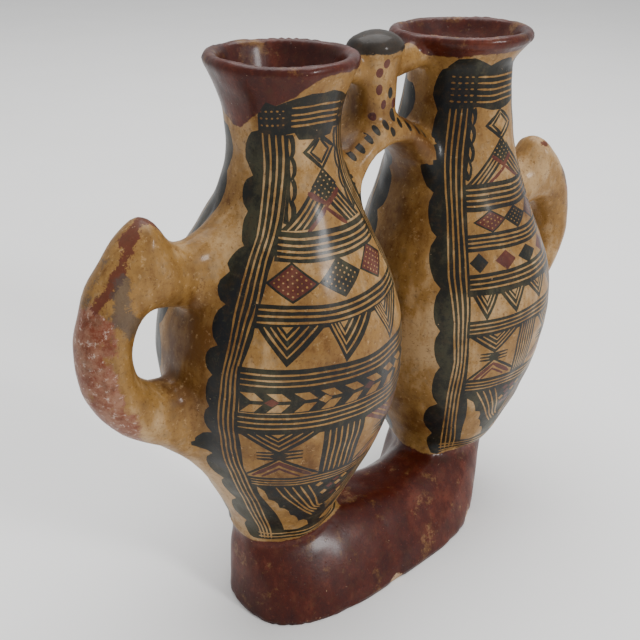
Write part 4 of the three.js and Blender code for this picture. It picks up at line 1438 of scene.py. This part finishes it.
CAMERA = {"azimuth": -41.595, "elevation": 27.65, "roll": 0.909, "distance": 373.2, "lens": 48.88,
          "target": (-32.293, 0.0, 125.073)}
SENSOR_WIDTH = 36
FLOOR_SIZE = 6
WORLD_COLOUR, WORLD_STRENGTH = (0.93, 0.94, 0.95, 1), 0.75
LIGHT_AIM = (0, 0, 0.12)
# Name, place, size and power of each light.
LIGHTS = (("window", (0.32, -1.18, 0.82), (0.22, 0.34), 11.0),
          ("ceiling", (0.3, 0.3, 1.5), (1.4, 1.4), 28.0))


def aimed(location, target):
    """A turn that points a light from a place to a target."""
    return (Vector(location) - Vector(target)).to_track_quat("Z", "Y").to_euler()


def build_stage(light_strength):
    bpy.ops.mesh.primitive_plane_add(size=FLOOR_SIZE)
    floor = bpy.context.object
    floor.name = "floor"
    material, nodes = new_material("pale_table")
    shade = nodes.mix(nodes.noise(120, 3), colour(236, 235, 233), colour(242, 241, 240))
    nodes.tree.links.new(shade, nodes.tree.nodes["Principled BSDF"].inputs["Base Color"])
    nodes.tree.nodes["Principled BSDF"].inputs["Roughness"].default_value = 0.6
    floor.data.materials.append(material)
    floor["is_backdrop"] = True
    a, e = math.radians(CAMERA["azimuth"]), math.radians(CAMERA["elevation"])
    back = Vector((math.sin(a) * math.cos(e), -math.cos(a) * math.cos(e), math.sin(e)))
    data = bpy.data.cameras.new("camera")
    data.lens = CAMERA["lens"]
    data.sensor_width = SENSOR_WIDTH
    camera = bpy.data.objects.new("camera", data)
    camera.location = (Vector(CAMERA["target"]) + back * CAMERA["distance"]) * MM
    turn = back.to_track_quat("Z", "Y").to_matrix()
    camera.rotation_euler = (turn @ Matrix.Rotation(math.radians(CAMERA["roll"]), 3, "Z")).to_euler()
    bpy.context.scene.collection.objects.link(camera)
    bpy.context.scene.camera = camera
    world = bpy.data.worlds.new("studio")
    bpy.context.scene.world = world
    world.use_nodes = True
    background = world.node_tree.nodes["Background"]
    background.inputs["Color"].default_value = WORLD_COLOUR
    background.inputs["Strength"].default_value = WORLD_STRENGTH
    for name, location, size, power in LIGHTS:
        light = bpy.data.lights.new(name, "AREA")
        light.shape = "RECTANGLE"
        light.size, light.size_y = size
        light.energy = power * light_strength
        lamp = bpy.data.objects.new(name, light)
        lamp.location = location
        lamp.rotation_euler = aimed(location, LIGHT_AIM)
        bpy.context.scene.collection.objects.link(lamp)


class VesselSizes(bpy.types.PropertyGroup):
    """The vessel's main sizes"""
    height: FloatProperty(name="Height", description="Height of the taller jar", default=0.24,
                          min=0.15, max=0.35, unit="LENGTH")
    rim_drop: FloatProperty(name="Rim drop", description="How much lower the right jar's rim is",
                            default=0.0024, min=0.0, max=0.01, unit="LENGTH")
    left_belly: FloatProperty(name="Left belly", description="Widest radius of the left jar",
                              default=0.0505, min=0.035, max=0.07, unit="LENGTH")
    right_belly: FloatProperty(name="Right belly", description="Widest radius of the right jar",
                               default=0.0493, min=0.035, max=0.07, unit="LENGTH")
    wall: FloatProperty(name="Wall", description="Thickness of the clay wall", default=0.006,
                        min=0.004, max=0.01, unit="LENGTH")
    lip: FloatProperty(name="Lip", description="Thickness of the lip", default=0.005,
                       min=0.003, max=0.008, unit="LENGTH")
    foot_height: FloatProperty(name="Foot height", description="Height of the shared foot",
                               default=0.035, min=0.02, max=0.05, unit="LENGTH")
    handle_height: FloatProperty(name="Handle height", description="Height of each handle",
                                 default=0.103, min=0.08, max=0.12, unit="LENGTH")
    left_reach: FloatProperty(name="Left handle reach", description="How far the left handle stands out",
                              default=0.038, min=0.03, max=0.05, unit="LENGTH")
    right_reach: FloatProperty(name="Right handle reach", description="How far the right handle stands out",
                               default=0.0405, min=0.03, max=0.05, unit="LENGTH")


class VesselColours(bpy.types.PropertyGroup):
    """The paints' base colours"""
    ochre: FloatVectorProperty(name="Ochre", description="The ground under the pattern", subtype="COLOR",
                               size=3, min=0, max=1, default=(0.24, 0.125, 0.033))
    black: FloatVectorProperty(name="Black", description="The pattern's black", subtype="COLOR",
                               size=3, min=0, max=1, default=(0.010, 0.009, 0.005))
    wine: FloatVectorProperty(name="Wine red", description="The pattern's red", subtype="COLOR",
                              size=3, min=0, max=1, default=(0.07, 0.014, 0.008))
    foot: FloatVectorProperty(name="Red slip", description="The red of the foot and the mouths",
                              subtype="COLOR", size=3, min=0, max=1, default=(0.055, 0.008, 0.0035))


class StageLight(bpy.types.PropertyGroup):
    """The stage's lighting"""
    strength: FloatProperty(name="Light", description="Strength of the studio lights", default=1.0,
                            min=0.1, max=5.0, subtype="FACTOR")


class VESSEL_OT_vessel(bpy.types.Operator):
    """Build the painted twin jars with their foot, bridge and handles"""
    bl_idname = "vessel.build_vessel"
    bl_label = "Painted vessel"

    def execute(self, context):
        build_vessel(context.scene.vessel_sizes, context.scene.vessel_colours)
        return {"FINISHED"}


class VESSEL_OT_stage(bpy.types.Operator):
    """Build the pale floor, the studio lights and the camera"""
    bl_idname = "vessel.build_stage"
    bl_label = "Stage"

    def execute(self, context):
        build_stage(context.scene.vessel_light.strength)
        return {"FINISHED"}


class VESSEL_PT_sidebar(bpy.types.Panel):
    """Builds the vessel and its stage"""
    bl_idname = "VESSEL_PT_sidebar"
    bl_label = "Double-chamber vessel"
    bl_space_type = "VIEW_3D"
    bl_region_type = "UI"
    bl_category = "Vessel"

    def draw(self, context):
        scene = context.scene
        for operator, properties in ((VESSEL_OT_vessel, (scene.vessel_sizes, scene.vessel_colours)),
                                     (VESSEL_OT_stage, (scene.vessel_light,))):
            for group in properties:
                for name in type(group).__annotations__:
                    self.layout.prop(group, name)
            self.layout.operator(operator.bl_idname)


PROPERTIES = {"vessel_sizes": VesselSizes, "vessel_colours": VesselColours, "vessel_light": StageLight}
CLASSES = (*PROPERTIES.values(), VESSEL_OT_vessel, VESSEL_OT_stage, VESSEL_PT_sidebar)


def register():
    for part in CLASSES:
        bpy.utils.register_class(part)
    for name, group in PROPERTIES.items():
        setattr(bpy.types.Scene, name, PointerProperty(type=group))


def unregister():
    for name in PROPERTIES:
        delattr(bpy.types.Scene, name)
    for part in reversed(CLASSES):
        bpy.utils.unregister_class(part)


def main():
    register()
    bpy.ops.vessel.build_vessel()
    bpy.ops.vessel.build_stage()
    sizes = {"cad": CAD_BOX, "visual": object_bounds()}
    {name: [list(map(float, corner)) for corner in box] for name, box in sizes.items()}


if __name__ == "__main__":
    main()
